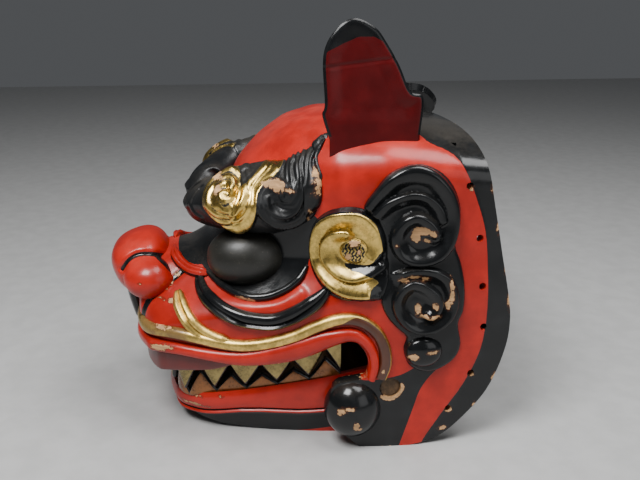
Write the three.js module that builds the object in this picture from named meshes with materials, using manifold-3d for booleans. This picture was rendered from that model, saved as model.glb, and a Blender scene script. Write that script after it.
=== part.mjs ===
// Lion dance head of carved, lacquered and gilded wood, with a swinging lower jaw.
// Millimetres, +Z up. The face looks along -Y and the animal's left is +X.
import * as THREE from 'three';
import { mergeVertices } from 'three/addons/utils/BufferGeometryUtils.js';
import Module from 'manifold-3d';

const wasm = await Module();
wasm.setup();

// Driving dimensions
const GAP = 0.3;
const WALL = 12;
const FRONT_WALL = 20;
const RELIEF = 5;
const BACK_SHIFT = 24.5;
const ARCH_POWER = 2.6;
const SHELF_ABOVE = 28;
const SHELF_BELOW = 16;
const ARCH_STEPS = 6;
const SIDE_STEPS = 8;
const UNDERCUT_Z = -20;
const REAR_END = 170;
const INNER_LAG = 8;
const HEAD_FRONT = -168;
const MUZZLE_TURN = { y: -145, length: 25, half: 100 };
const CLEAR = 160;
const INSIDE = 60;
const ABOVE = 300;
const HOLE_RADIUS = 3.2;
const HOLE_SIDES = 6;
const ROD_RADIUS = 9;
const ROD_HALF_LENGTH = 122;
const ROD_Y = 44;
const ROD_Z = 57;
const JAW_WALL = 14;
const JAW_FLOOR = 13;
const JAW_LIP_Z = 31;
const JAW_FRONT = -147;
const JAW_REAR = 62;
const TOOTH_PITCH = 28;
const TOOTH_THICK = 9;
const EAR_THICK = 9;
const EAR_X = 95.5;
const EAR_FOOT_Y = 31;
const EAR_FOOT_Z = 266;
const PEG_RADIUS = 3;
const MANE_CUT_Z = 223;
const LAID_BACK = THREE.MathUtils.degToRad(97);
const LAID_OUT = THREE.MathUtils.degToRad(32);
const LAID_AT = new THREE.Vector3(-110, 42, 264);

// Turns plain rows into objects with named columns.
const table = (columns, ...rows) => rows.map(
  (row) => Object.fromEntries(columns.map((name, index) => [name, row[index]])));

// Cross-sections of the head: crown height, half-widths above and below the eye shelf,
// shelf height, and the rise of the crown's arch.
const SECTIONS = table(['y', 'top', 'upper', 'lower', 'shelf', 'rise'],
  [HEAD_FRONT, 140, 40, 52, 112, 16],
  [-160, 152, 44, 69, 116, 20],
  [-145, 160, 46, 80, 122, 24],
  [-125, 161, 47, 89, 128, 24],
  [-105, 172, 52, 95, 132, 30],
  [-90, 208, 60, 100, 134, 48],
  [-76, 238, 66, 104, 136, 60],
  [-55, 260, 76, 109, 138, 64],
  [-30, 276, 92, 115, 142, 60],
  [0, 283, 110, 120, 148, 52],
  [40, 282, 120, 125, 150, 44],
  [80, 278, 124, 127, 150, 40],
  [150, 268, 124, 126, 150, 38]);

// Side outline of the head, from the crown down the rear rim and round the cheek plate.
const RIM = table(['y', 'z'],
  [117, 300], [122, 250], [135, 187], [144, 143], [148, 115], [145, 87], [133, 54], [116, 31], [90, 8]);
const PLATE = table(['y', 'z'],
  [62, 0], [18, 0], [0, 17], [-7, 34], [-8, 57], [16, 65]);
const LIP = table(['y', 'z'],
  [23, 66], [25, 78], [22, 91], [13, 101], [3, 103], [-13, 96], [-34, 87], [-59, 81], [-84, 78],
  [-110, 79], [-135, 81], [-158, 81]);
const LIP_LINE = table(['y', 'z'],
  [35, 68], [39, 82], [37, 98], [29, 112], [15, 121], [-1, 121.5], [-19, 115], [-38, 105.5], [-59, 98.5],
  [-80, 95], [-100, 96], [-122, 100], [-140, 102], [-160, 101]);
const LIP_BRANCH = table(['y', 'z'], [-133, 130], [-132, 122], [-127, 114], [-117, 106], [-104, 99]);
const EYE_BAND = table(['y', 'z'],
  [-116, 143], [-112, 134], [-101, 127], [-86, 122], [-70, 119], [-53, 120], [-36, 127], [-18, 138]);
const STITCHES_SIDE = table(['y', 'z'], [106, 234], [117, 189], [121, 147], [124, 110], [115, 67], [96, 34]);
const STITCHES_TOP = table(['x', 'y'], [75, 92], [98, 99]);
const STITCH_TOP_Z = 220;

const BROW = table(['x', 'y', 'z', 'depth', 'half'],
  [12, -108, 199, 10, 10], [22, -111, 198, 16, 19], [41, -105, 204, 20, 21], [63, -92, 213, 22, 25],
  [74, -71, 216, 22, 28], [80, -49, 218, 21, 29], [85, -31, 222, 18, 28.5], [90, -18, 225, 14, 26],
  [94, -10, 227, 8, 16], [96, -6, 228, 1, 3]);
const BROW_TAIL = table(['x', 'y', 'z', 'depth', 'half'],
  [84, -34, 236, 9, 12], [87, -25, 249, 8, 11], [86, -16, 260, 6, 8], [83, -8, 267, 4, 5],
  [80, -3, 271, 2, 2]);
const BROW_LEAN = 0.5;
const BROW_SIDES = 12;

const MANE = table(['y', 'z'],
  [4, 213], [30, 239], [46, 249], [63, 252], [79, 248], [92, 237], [98, 219], [99, 200], [96, 184],
  [101, 170], [105, 150], [105, 128], [101, 115], [104, 96], [99, 83], [86, 74], [73, 72], [59, 79],
  [54, 94], [56, 105], [44, 115], [30, 128], [14, 150], [4, 180]);
const CURLS = table(['y', 'z', 'radius', 'tall', 'height', 'turns', 'start'],
  [68, 193, 31, 33, 8, 1.6, 120], [69, 140, 31, 31, 8, 1.6, 60], [73, 93, 15, 15, 7, 0, 0]);
const [SPIRAL] = table(['y', 'z', 'radius', 'tall', 'height', 'turns', 'start'],
  [8, 178, 30, 36, 10, 1.5, -50]);
const CURL_SINK = 2.5;
const SLOPE_SHARE = 0.7;
const STRAND = { outer: 0.86, inner: 0.16, points: 16, steps: 16, depth: 3.4, half: 3.6, sides: 4 };

const TOOTH_SIDE = table(['y'], [4], [-20], [-45], [-70], [-95], [-115], [-130]);
const TOOTH_FRONT = table(['x', 'back'], [52, 2], [20, 0.2], [-20, 0.2], [-52, 2]);
const TOOTH_SLACK = 0.8;
const LOWER_INSET = 5.5;
const LIP_OVERHANG = 10;
const TIP_SHARE = 0.7;
const JAW_TOP = table(['y', 'z'],
  [-150, 35], [-129, 38], [-107, 44], [-76, 47], [-40, 53], [-4, 60], [30, 67], [JAW_REAR, 70]);
const JAW_UNDER = table(['y', 'z'],
  [JAW_REAR, 42], [46, 14], [32, 0], [-60, 0], [-104, 4], [-128, 8], [-150, 14]);
const JAW_PLAN = table(['y', 'x'],
  [JAW_FRONT, 30], [-142, 50], [-133, 62], [-115, 76], [-90, 85], [-40, 97], [0, 104], [JAW_REAR, 107]);
const JAW_LEVELS = table(['z', 'inset'], [0, 14], [JAW_LIP_Z - 3, 6], [JAW_LIP_Z, 0], [90, 0]);

const EAR = table(['y', 'z'],
  [-37, -10], [-37, 4], [-43, 24], [-41, 33], [-42, 72], [-31, 92], [-17, 99], [-1, 92], [8, 81],
  [19, 63], [29, 42], [40, 36], [38, 4], [38, -10]);

const NOSE = { centre: [0, -164, 148], radii: [44, 33, 32] };
const NOSE_WING = { centre: [44, -157, 134], radii: [21, 27, 17] };
const EYE = { centre: [66, -73, 164], radii: [28, 36, 27] };
const JAW_BOSS = { centre: [114.5, 11, 35], radii: [22.5, 23.5, 26] };
const BANDS = {
  eye: { steps: 12, depth: 6, half: 6, sides: 6 },
  lipLine: { steps: 40, depth: 5, half: 4.5, sides: 5 },
  lipBranch: { steps: 6, depth: 5, half: 4.5, sides: 5 },
  lip: { steps: 40, depth: 6, half: 5.5, sides: 6 },
};
const LIP_LIFT = 1;
const MUZZLE_FRONT_X = 40;
const PEG = { below: 12, above: 14, sides: 10 };
const LAID_PEG = { outside: -2, inside: 16 };
const GUM = { upperEdge: 12, upperTip: 4, lowerEdge: -4, lowerValley: 1.5, lowerTip: -10 };

const LACQUER = { red: '#b5281c', black: '#17181a', gold: '#b8953a', eye: '#24221d', wood: '#b98d5c' };

// Value of one column at a place along a table, by straight lines between its rows.
function along(rows, column, y) {
  const next = rows.findIndex((row) => row.y >= y);
  if (next === 0) return rows[0][column];
  if (next < 0) return rows.at(-1)[column];
  const [a, b] = [rows[next - 1], rows[next]];
  return THREE.MathUtils.mapLinear(y, a.y, b.y, a[column], b[column]);
}

function section(y, grow) {
  const row = { y };
  for (const column of ['top', 'upper', 'lower', 'shelf', 'rise']) row[column] = along(SECTIONS, column, y);
  row.top += grow;
  row.upper += grow;
  row.lower += grow;
  return row;
}

// Half-width of a section at a height: the crown's arch above, the cheek below the shelf.
function sectionWidth(row, z) {
  const q = THREE.MathUtils.clamp((z - row.top + row.rise) / row.rise, 0, 1);
  const arch = row.upper * (1 - q ** ARCH_POWER) ** (1 / ARCH_POWER);
  const cheek = 1 - THREE.MathUtils.smoothstep(z, row.shelf - SHELF_BELOW, row.shelf + SHELF_ABOVE);
  return THREE.MathUtils.lerp(arch, row.lower, cheek);
}

const halfWidth = (y, z) => sectionWidth(section(y, 0), z);

// Closed skin through rings of equal length, with a fan on each end, faces outward.
// The first half of each ring is split the other way, so that mirrored rings give a mirrored skin.
function loft(rings) {
  const size = rings[0].length;
  const middle = (ring) => ring.reduce((sum, p) => sum.add(p), new THREE.Vector3()).divideScalar(size);
  const points = [...rings.flat(), middle(rings[0]), middle(rings.at(-1))];
  const lastRow = (rings.length - 1) * size;
  const faces = [];
  for (let i = 0; i < size; i += 1) {
    const j = (i + 1) % size;
    for (let base = 0; base < lastRow; base += size) {
      const [a, b, c, d] = [base + i, base + j, base + size + j, base + size + i];
      if (i < (size - 1) / 2) faces.push([a, d, b], [b, d, c]);
      else faces.push([a, c, b], [a, d, c]);
    }
    faces.push([points.length - 2, i, j], [points.length - 1, lastRow + j, lastRow + i]);
  }
  const volume = faces.reduce(
    (sum, [a, b, c]) => sum + points[a].dot(points[b].clone().cross(points[c])), 0);
  if (volume < 0) faces.forEach((face) => face.reverse());
  const geometry = new THREE.BufferGeometry().setFromPoints(points);
  geometry.setIndex(faces.flat());
  return geometry;
}

function solid(geometry) {
  const bare = geometry.clone();
  bare.deleteAttribute('normal');
  bare.deleteAttribute('uv');
  const merged = mergeVertices(bare, 1e-4);
  return new wasm.Manifold(new wasm.Mesh({
    numProp: 3,
    vertProperties: new Float32Array(merged.attributes.position.array),
    triVerts: new Uint32Array(merged.index.array),
  }));
}

function surface(body) {
  const mesh = body.getMesh();
  const geometry = new THREE.BufferGeometry();
  geometry.setAttribute('position', new THREE.BufferAttribute(mesh.vertProperties, 3));
  geometry.setIndex(new THREE.BufferAttribute(mesh.triVerts, 1));
  return geometry;
}

// Copy of a solid put somewhere else, turned inside out again where the move mirrors it.
function moved(body, matrix) {
  const geometry = surface(body).applyMatrix4(matrix);
  if (matrix.determinant() < 0) geometry.index.array.reverse();
  return solid(geometry);
}

const mirrored = (body) => moved(body, new THREE.Matrix4().makeScale(-1, 1, 1));
const union = (...bodies) => bodies.reduce((sum, body) => sum.add(body));

// Head form as one solid: mirrored half-sections lofted along Y.
function headForm(ys, grow, lag, floor) {
  const rings = ys.map((y) => {
    const row = { ...section(y, grow), top: section(y - lag, grow).top };
    const half = [];
    for (let i = 0; i <= ARCH_STEPS; i += 1) {
      const angle = (i / ARCH_STEPS) * (Math.PI / 2);
      const z = row.top - row.rise * (1 - Math.cos(angle) ** (2 / ARCH_POWER));
      half.push([i === 0 ? 0 : sectionWidth(row, z), z]);
    }
    const archFoot = row.top - row.rise;
    for (let i = 1; i <= SIDE_STEPS; i += 1) {
      const z = THREE.MathUtils.lerp(archFoot, floor, i / SIDE_STEPS);
      half.push([sectionWidth(row, z), z]);
    }
    const otherHalf = half.slice(1).reverse().map(([x, z]) => [-x, z]);
    return [...otherHalf, ...half].map(([x, z]) => new THREE.Vector3(x, y, z));
  });
  return solid(loft(rings));
}

// Plate seen from the side: an outline in Y and Z, given thickness along X.
const SIDE_VIEW = new THREE.Matrix4().makeBasis(
  new THREE.Vector3(0, 1, 0), new THREE.Vector3(0, 0, 1), new THREE.Vector3(1, 0, 0));

function sidePlate(points, x0, x1, steps = 0) {
  const corners = points.map(({ y, z }) => new THREE.Vector2(y, z));
  const outline = steps === 0
    ? corners
    : new THREE.SplineCurve([...corners, corners[0]]).getPoints(steps * corners.length).slice(0, -1);
  const settings = { depth: x1 - x0, bevelEnabled: false };
  const geometry = new THREE.ExtrudeGeometry(new THREE.Shape(outline), settings);
  return solid(geometry.applyMatrix4(SIDE_VIEW).translate(x0, 0, 0));
}

function ellipsoid({ centre, radii }, across = 16, down = 10) {
  const geometry = new THREE.SphereGeometry(1, across, down);
  return solid(geometry.scale(...radii).translate(...centre));
}

function rod(radius, from, to, sides = 16) {
  const axis = new THREE.Vector3().subVectors(to, from);
  const geometry = new THREE.CylinderGeometry(radius, radius, axis.length(), sides);
  const turn = new THREE.Quaternion().setFromUnitVectors(
    new THREE.Vector3(0, 1, 0), axis.clone().normalize());
  const middle = from.clone().lerp(to, 0.5);
  return solid(geometry.applyQuaternion(turn).translate(middle.x, middle.y, middle.z));
}

const crossRod = (radius, half) => rod(
  radius, new THREE.Vector3(-half, ROD_Y, ROD_Z), new THREE.Vector3(half, ROD_Y, ROD_Z));

// Direction that points out of the head at a place on it: sideways, or forward on the muzzle's front.
function outward(p) {
  const forward = Math.min(0, (p.y - MUZZLE_TURN.y) / MUZZLE_TURN.length);
  return new THREE.Vector3(p.x / MUZZLE_TURN.half, forward, 0).normalize();
}

// Band swept along a curve with an elliptical section, narrowed at both ends by taper.
function band(curve, { steps, depth, half, sides }, taper = () => 1) {
  const places = curve.getSpacedPoints(steps);
  const rings = places.map((place, index) => {
    const tangent = curve.getTangentAt(index / steps);
    const across = tangent.clone().cross(outward(place)).normalize();
    const out = across.clone().cross(tangent);
    const scale = taper(index / steps);
    return Array.from({ length: sides }, (_, k) => {
      const angle = ((k + 0.5) / sides) * 2 * Math.PI;
      return place.clone()
        .addScaledVector(out, depth * scale * Math.cos(angle))
        .addScaledVector(across, half * scale * Math.sin(angle));
    });
  });
  return solid(loft(rings));
}

const onHead = ({ y, z }, lift) => new THREE.Vector3(halfWidth(y, z) + lift, y, z);
const mirrorX = (p) => new THREE.Vector3(-p.x, p.y, p.z);

// Curve round the muzzle from the left corner of the mouth to the right one.
function muzzleCurve(rows, lift) {
  const left = rows.map((row) => onHead(row, lift));
  const z = rows.at(-1).z;
  const front = [MUZZLE_FRONT_X, 0, -MUZZLE_FRONT_X].map(
    (x) => new THREE.Vector3(x, HEAD_FRONT - lift, z));
  return new THREE.CatmullRomCurve3([...left, ...front, ...left.toReversed().map(mirrorX)]);
}

const sideCurve = (rows, lift) => new THREE.CatmullRomCurve3(rows.map((row) => onHead(row, lift)));
const pointed = (t) => Math.min(1, 0.35 + 5 * Math.min(t, 1 - t));

// Carved curl: a low dome with a spiral strand on it, leant with the cheek's own slope.
function curl(spec, sink) {
  const base = halfWidth(spec.y, spec.z) - sink;
  const rise = spec.height + sink;
  const reach = spec.radius * SLOPE_SHARE;
  const slopeY = (halfWidth(spec.y + reach, spec.z) - halfWidth(spec.y - reach, spec.z)) / (2 * reach);
  const slopeZ = (halfWidth(spec.y, spec.z + reach) - halfWidth(spec.y, spec.z - reach)) / (2 * reach);
  const lean = new THREE.Matrix4().set(1, slopeY, slopeZ, -slopeY * spec.y - slopeZ * spec.z,
    0, 1, 0, 0, 0, 0, 1, 0, 0, 0, 0, 1);
  const dome = ellipsoid(
    { centre: [base, spec.y, spec.z], radii: [rise, spec.radius, spec.tall] }, 14, 6);
  if (spec.turns === 0) return moved(dome, lean);
  const places = Array.from({ length: STRAND.points }, (_, i) => {
    const t = i / (STRAND.points - 1);
    const angle = THREE.MathUtils.degToRad(spec.start) - t * spec.turns * 2 * Math.PI;
    const share = THREE.MathUtils.lerp(STRAND.outer, STRAND.inner, t);
    return new THREE.Vector3(base + rise * Math.sqrt(1 - share ** 2),
      spec.y + share * spec.radius * Math.cos(angle), spec.z + share * spec.tall * Math.sin(angle));
  });
  const path = new THREE.CatmullRomCurve3(places);
  return moved(dome.add(band(path, STRAND)), lean);
}

// Row of pointed teeth round the mouth: a plain edge on one side, points on the other.
function toothRow(edge, valley, tip, phase, inset) {
  const wallX = (y) => along(SECTIONS, 'lower', y) - WALL - GAP - TOOTH_THICK / 2;
  const frontY = HEAD_FRONT + FRONT_WALL + GAP + TOOTH_THICK / 2;
  const left = TOOTH_SIDE.map(({ y }) => new THREE.Vector3(wallX(y) - TOOTH_SLACK, y, 0));
  const front = TOOTH_FRONT.map(({ x, back }) => new THREE.Vector3(x, frontY + back, 0));
  const curve = new THREE.CatmullRomCurve3([...left, ...front, ...left.toReversed().map(mirrorX)]);
  const steps = 2 * Math.round(curve.getLength() / TOOTH_PITCH);
  const rings = Array.from({ length: steps + 1 }, (_, i) => {
    const tangent = curve.getTangentAt(i / steps);
    const inward = new THREE.Vector3(tangent.y, -tangent.x, 0);
    const place = curve.getPointAt(i / steps).addScaledVector(inward, inset);
    const side = inward.clone().multiplyScalar(TOOTH_THICK / 2);
    const isTip = (i + phase) % 2 === 0;
    const pointZ = isTip ? tip(place.y) : valley(place.y);
    const slim = isTip ? TIP_SHARE : 1;
    const corner = (way, z, share) => place.clone().addScaledVector(side, way * share).setZ(z);
    return [corner(1, edge(place.y), 1), corner(-1, edge(place.y), 1),
      corner(-1, pointZ, slim), corner(1, pointZ, slim)];
  });
  return solid(loft(rings));
}

const LIP_EDGE = LIP.filter((row) => row.y <= 3).toReversed();
const jawTop = (y) => along(JAW_TOP, 'z', y);
const upperGum = (y) => along(LIP_EDGE, 'z', y) - LIP_OVERHANG;

function jawPlan(inset, z, reach) {
  const left = JAW_PLAN.map(({ y, x }) => ({ y: Math.max(y, JAW_FRONT + inset), x: Math.max(1, x - inset) }));
  left.push({ y: reach, x: left.at(-1).x });
  const right = left.toReversed().map(({ y, x }) => ({ y, x: -x }));
  return [...left, ...right].map(({ y, x }) => new THREE.Vector3(x, y, z));
}

const ends = [HEAD_FRONT - GAP, ...SECTIONS.slice(1).map((row) => row.y)];
const core = headForm([...ends, REAR_END], GAP, 0, UNDERCUT_Z);
const reliefSkin = headForm([...ends, REAR_END], RELIEF, 0, UNDERCUT_Z);

function headShell(pegHoles) {
  const outer = headForm([...SECTIONS.map((row) => row.y), REAR_END], 0, 0, UNDERCUT_Z);
  const innerYs = [HEAD_FRONT + FRONT_WALL, ...SECTIONS.slice(3).map((row) => row.y), REAR_END + WALL];
  const inner = headForm(innerYs, -WALL, INNER_LAG, UNDERCUT_Z - WALL);
  const outline = [{ y: HEAD_FRONT - WALL, z: ABOVE }, { y: HEAD_FRONT - WALL, z: LIP.at(-1).z },
    ...LIP.toReversed(), ...PLATE.toReversed(), ...RIM.toReversed()];
  const side = sidePlate(outline, -CLEAR, CLEAR);
  let shell = outer.subtract(inner).intersect(side).subtract(crossRod(ROD_RADIUS + GAP, CLEAR));
  for (const hole of pegHoles) shell = shell.subtract(hole);
  for (const way of [1, -1]) {
    const sideHoles = STITCHES_SIDE.map(({ y, z }) => [
      new THREE.Vector3(way * INSIDE, y, z), new THREE.Vector3(way * CLEAR, y, z)]);
    const topHoles = STITCHES_TOP.map(({ x, y }) => [
      new THREE.Vector3(way * x, y, STITCH_TOP_Z), new THREE.Vector3(way * x, y, ABOVE)]);
    for (const [from, to] of [...sideHoles, ...topHoles]) {
      shell = shell.subtract(rod(HOLE_RADIUS, from, to, HOLE_SIDES));
    }
  }
  return shell;
}

function nose() {
  const wing = ellipsoid(NOSE_WING, 14, 8);
  return union(ellipsoid(NOSE, 16, 9), wing, mirrored(wing)).subtract(core);
}

// Part of a brow: upright ovals along a path, each leant back above its middle.
function browForm(rows) {
  const curve = new THREE.CatmullRomCurve3(rows.map(({ x, y, z }) => new THREE.Vector3(x, y, z)));
  const rings = rows.map(({ x, y, z, depth, half }, index) => {
    const tangent = curve.getTangent(index / (rows.length - 1)).setZ(0).normalize();
    const out = new THREE.Vector3(tangent.y, -tangent.x, 0);
    return Array.from({ length: BROW_SIDES }, (_, k) => {
      const angle = (k / BROW_SIDES) * 2 * Math.PI;
      const rise = half * Math.sin(angle);
      return new THREE.Vector3(x, y, z + rise)
        .addScaledVector(out, depth * Math.cos(angle) - BROW_LEAN * Math.max(0, rise));
    });
  });
  return solid(loft(rings));
}

function brow() {
  const eyeClear = ellipsoid({ centre: EYE.centre, radii: EYE.radii.map((radius) => radius + GAP) }, 14, 8);
  return union(browForm(BROW), browForm(BROW_TAIL)).subtract(core).subtract(eyeClear);
}

function mane(spiralClear) {
  const plate = sidePlate(MANE, INSIDE, CLEAR, 2);
  const curls = CURLS.map((spec) => curl(spec, CURL_SINK));
  return union(plate.intersect(reliefSkin), ...curls).subtract(core).subtract(spiralClear);
}

function lowerJaw() {
  const outer = solid(loft(JAW_LEVELS.map(({ z, inset }) => jawPlan(inset, z, JAW_REAR))));
  const rearOpen = JAW_REAR + 2 * JAW_WALL;
  const trough = solid(loft([0, CLEAR].map((z) => jawPlan(JAW_WALL, z, rearOpen))));
  const hollow = [{ y: rearOpen, z: CLEAR }, { y: rearOpen, z: JAW_FLOOR },
    ...JAW_UNDER.slice(2).map(({ y, z }) => ({ y, z: z + JAW_FLOOR })), { y: JAW_TOP[0].y, z: CLEAR }];
  const profile = sidePlate([...JAW_TOP, ...JAW_UNDER], -CLEAR, CLEAR);
  return outer.intersect(profile).subtract(trough.intersect(sidePlate(hollow, -CLEAR, CLEAR)))
    .subtract(crossRod(ROD_RADIUS + GAP, CLEAR));
}

// Ear standing on the crown, and the other one swung back until it lies against the shoulder.
const ear = () => sidePlate(EAR, -EAR_THICK / 2, EAR_THICK / 2, 2);
const STANDING = new THREE.Matrix4().makeTranslation(EAR_X, EAR_FOOT_Y, EAR_FOOT_Z);
const LAID = new THREE.Matrix4().makeTranslation(LAID_AT)
  .multiply(new THREE.Matrix4().makeRotationY(LAID_OUT))
  .multiply(new THREE.Matrix4().makeRotationX(-LAID_BACK));
const standingPeg = (radius) => rod(radius, new THREE.Vector3(EAR_X, EAR_FOOT_Y, EAR_FOOT_Z - PEG.below),
  new THREE.Vector3(EAR_X, EAR_FOOT_Y, EAR_FOOT_Z + PEG.above), PEG.sides);
const laidPeg = (radius) => moved(rod(radius, new THREE.Vector3(LAID_PEG.outside, 0, 0),
  new THREE.Vector3(LAID_PEG.inside, 0, 0), PEG.sides), LAID);

const group = new THREE.Group();
group.position.y = BACK_SHIFT;

function place(name, body, colour, roughness, metalness = 0) {
  const material = new THREE.MeshStandardMaterial({ color: LACQUER[colour], roughness, metalness });
  const mesh = new THREE.Mesh(surface(body), material);
  mesh.name = name;
  group.add(mesh);
}

function placePair(name, body, colour, roughness, metalness = 0) {
  place(`${name}_left`, body, colour, roughness, metalness);
  place(`${name}_right`, mirrored(body), colour, roughness, metalness);
}

const spiralDisc = (grow) => moved(
  rod(1, new THREE.Vector3(INSIDE, 0, 0), new THREE.Vector3(CLEAR, 0, 0), 20),
  new THREE.Matrix4().makeScale(1, SPIRAL.radius + grow, SPIRAL.tall + grow)
    .setPosition(0, SPIRAL.y, SPIRAL.z));
const spiralClear = spiralDisc(GAP);
const spiralFoot = spiralDisc(0).intersect(reliefSkin);
const pegHoles = [standingPeg(PEG_RADIUS + GAP), laidPeg(PEG_RADIUS + GAP)];
const lipBranch = band(sideCurve(LIP_BRANCH, 0), BANDS.lipBranch, pointed);
const maneLeft = mane(spiralClear);
const underEar = sidePlate([{ y: -20, z: MANE_CUT_Z }, { y: 130, z: MANE_CUT_Z }, { y: 130, z: ABOVE },
  { y: -20, z: ABOVE }], INSIDE, CLEAR);
const jawCut = sidePlate([...JAW_TOP.map(({ y, z }) => ({ y, z: z + GAP })),
  { y: JAW_REAR, z: 0 }, { y: JAW_TOP[0].y, z: 0 }], -CLEAR, CLEAR);

place('head_shell', headShell(pegHoles), 'red', 0.35);
place('nose', nose(), 'red', 0.35);
placePair('brow', brow(), 'black', 0.4);
placePair('eye', ellipsoid(EYE, 14, 8).subtract(core), 'eye', 0.5);
placePair('eye_band', band(sideCurve(EYE_BAND, 0), BANDS.eye, pointed).subtract(core)
  .subtract(spiralClear), 'black', 0.3);
place('lip_line', union(band(muzzleCurve(LIP_LINE, 0), BANDS.lipLine), lipBranch, mirrored(lipBranch))
  .subtract(core), 'gold', 0.35, 0.8);
place('upper_lip', band(muzzleCurve(LIP, LIP_LIFT), BANDS.lip).subtract(core), 'red', 0.3);
place('upper_teeth', toothRow((y) => upperGum(y) + GUM.upperEdge, upperGum,
  (y) => jawTop(y) + GUM.upperTip, 0, 0), 'gold', 0.4, 0.7);
placePair('cheek_spiral', curl(SPIRAL, CURL_SINK).add(spiralFoot).subtract(core), 'gold', 0.35, 0.8);
place('mane_left', maneLeft, 'black', 0.35);
place('mane_right', mirrored(maneLeft.subtract(underEar)), 'black', 0.35);
placePair('jaw_boss', ellipsoid(JAW_BOSS).subtract(core), 'black', 0.3);
place('lower_jaw', lowerJaw(), 'red', 0.35);
place('lower_teeth', toothRow((y) => jawTop(y) + GUM.lowerEdge, (y) => jawTop(y) + GUM.lowerValley,
  (y) => upperGum(y) + GUM.lowerTip, 1, LOWER_INSET).subtract(jawCut), 'gold', 0.45, 0.6);
place('jaw_rod', crossRod(ROD_RADIUS, ROD_HALF_LENGTH), 'wood', 0.7);
place('ear_left', moved(ear(), STANDING).subtract(core).subtract(pegHoles[0]), 'red', 0.4);
place('ear_right', moved(ear(), LAID).subtract(core).subtract(pegHoles[1]), 'red', 0.4);
place('ear_peg_left', standingPeg(PEG_RADIUS), 'wood', 0.7);
place('ear_peg_right', laidPeg(PEG_RADIUS), 'wood', 0.7);

export default group;
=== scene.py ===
"""Looks of a carved, lacquered and gilded lion dance head, laid out as an add-on and run as a script."""
import math

import bmesh
import bpy
import numpy as np
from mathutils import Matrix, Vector


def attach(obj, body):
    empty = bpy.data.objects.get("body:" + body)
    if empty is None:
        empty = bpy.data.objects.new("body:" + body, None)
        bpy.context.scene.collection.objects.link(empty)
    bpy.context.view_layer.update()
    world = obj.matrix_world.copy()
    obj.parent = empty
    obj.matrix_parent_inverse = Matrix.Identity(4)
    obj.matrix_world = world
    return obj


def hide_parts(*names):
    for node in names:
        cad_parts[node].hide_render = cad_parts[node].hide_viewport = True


bl_info = {
    "name": "Lion dance head",
    "version": (1, 0, 0),
    "blender": (4, 5, 0),
    "location": "View3D > Sidebar > Lion head",
    "description": "Carved and lacquered pieces of a lion dance head, built over its solid frame",
    "category": "Add Mesh",
}

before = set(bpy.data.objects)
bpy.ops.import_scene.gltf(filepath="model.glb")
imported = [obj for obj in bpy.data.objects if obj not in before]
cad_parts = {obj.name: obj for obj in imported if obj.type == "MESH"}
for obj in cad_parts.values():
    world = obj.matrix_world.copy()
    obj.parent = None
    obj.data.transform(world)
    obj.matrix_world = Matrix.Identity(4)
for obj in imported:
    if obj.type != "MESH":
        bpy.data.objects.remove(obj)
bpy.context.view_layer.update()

# Metres in a millimetre, how close merged places lie in metres, and the angle of a sharp edge in degrees.
MM = 0.001
MERGE_DISTANCE = 2e-6
SHARP_ANGLE = 50

# The tables below are in millimetres. Y runs back from the face and is moved by BACK_SHIFT in the frame.
# SUNK is how far glued-on pieces reach into the wall, and HEAD_SLACK how close a cut follows the outline.
BACK_SHIFT = 24.5
LEFT_TO_RIGHT = np.array((-1.0, 1.0, 1.0))
HEAD_MIDDLE = np.array((0.0, 30.0, 150.0))
HEAD_FRONT = -168.0
HEAD_SLACK = 0.6
FRONT_ROUND = 6.0
WALL = 12.0
SUNK = 6.5
ARCH_POWER = 2.6
SHELF_ABOVE = 28.0
SHELF_BELOW = 16.0

# Paint is kept as depths inside painted fields: FULL is well inside a field and FAR is well outside it.
# The last depth marks rubbing and chips. On the cheek spirals and the front of the lip line it also carries
# painted shade.
PAINTS = ("black", "gold", "chip", "wear")
FULL = 9.0
FAR = -30.0

# Cross-sections of the head: y, crown height, half-widths above and below the eye shelf, shelf, arch rise.
SECTIONS = np.array([
    (-168, 140, 40, 52, 112, 16), (-160, 152, 44, 69, 116, 20), (-145, 160, 46, 80, 122, 24),
    (-125, 161, 47, 89, 128, 24), (-105, 172, 52, 95, 132, 30), (-90, 208, 60, 100, 134, 48),
    (-76, 238, 66, 104, 136, 60), (-55, 260, 76, 109, 138, 64), (-30, 276, 92, 115, 142, 60),
    (0, 283, 110, 120, 148, 52), (40, 282, 120, 125, 150, 44), (80, 278, 124, 127, 150, 40),
    (150, 268, 124, 126, 150, 38)], float)

# Side view of the head (y, z): rear rim, front of the cheek plate, mouth, gilded line, bands and lids.
HEAD_FLOOR = np.array(((-200, 68), (-40, 68), (-14, -3), (200, -3)), float)
RIM = ((62, 0), (90, 8), (116, 31), (133, 54), (145, 87), (148, 115), (144, 143), (135, 187), (122, 250),
       (117, 300))
TONGUE = ((16, 65), (-4, 60), (-8, 46), (-7, 34), (0, 17), (18, 0))
LIP = ((23, 66), (25, 78), (22, 91), (13, 101), (3, 103), (-13, 96), (-34, 87), (-59, 81), (-84, 78),
       (-110, 79), (-135, 81), (-158, 81))
MUZZLE_FRONT = ((40, 0, 0), (0, -1, 0), (-40, 0, 0))
LIP_LINE = ((35, 68), (39, 82), (37, 98), (29, 112), (15, 121), (-1, 121.5), (-19, 115), (-38, 105.5),
            (-59, 98.5), (-80, 95), (-100, 96), (-122, 100), (-140, 102), (-160, 101))
LIP_BRANCH = ((-135, 133), (-132.5, 124), (-126, 114.5), (-117, 105.5), (-104, 99), (-90, 95.5))
EYE_BAND = ((-117, 145), (-113, 135), (-102, 127), (-87, 121.5), (-71, 118.5), (-54, 118.5), (-37, 125.5),
            (-19, 137), (-9, 147))
LID_LINE = ((-114, 153), (-110, 148.5), (-103, 144), (-94, 139.5), (-84, 136.5), (-72, 135), (-57, 137),
            (-42, 143.5), (-31, 152), (-24, 163))
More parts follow.
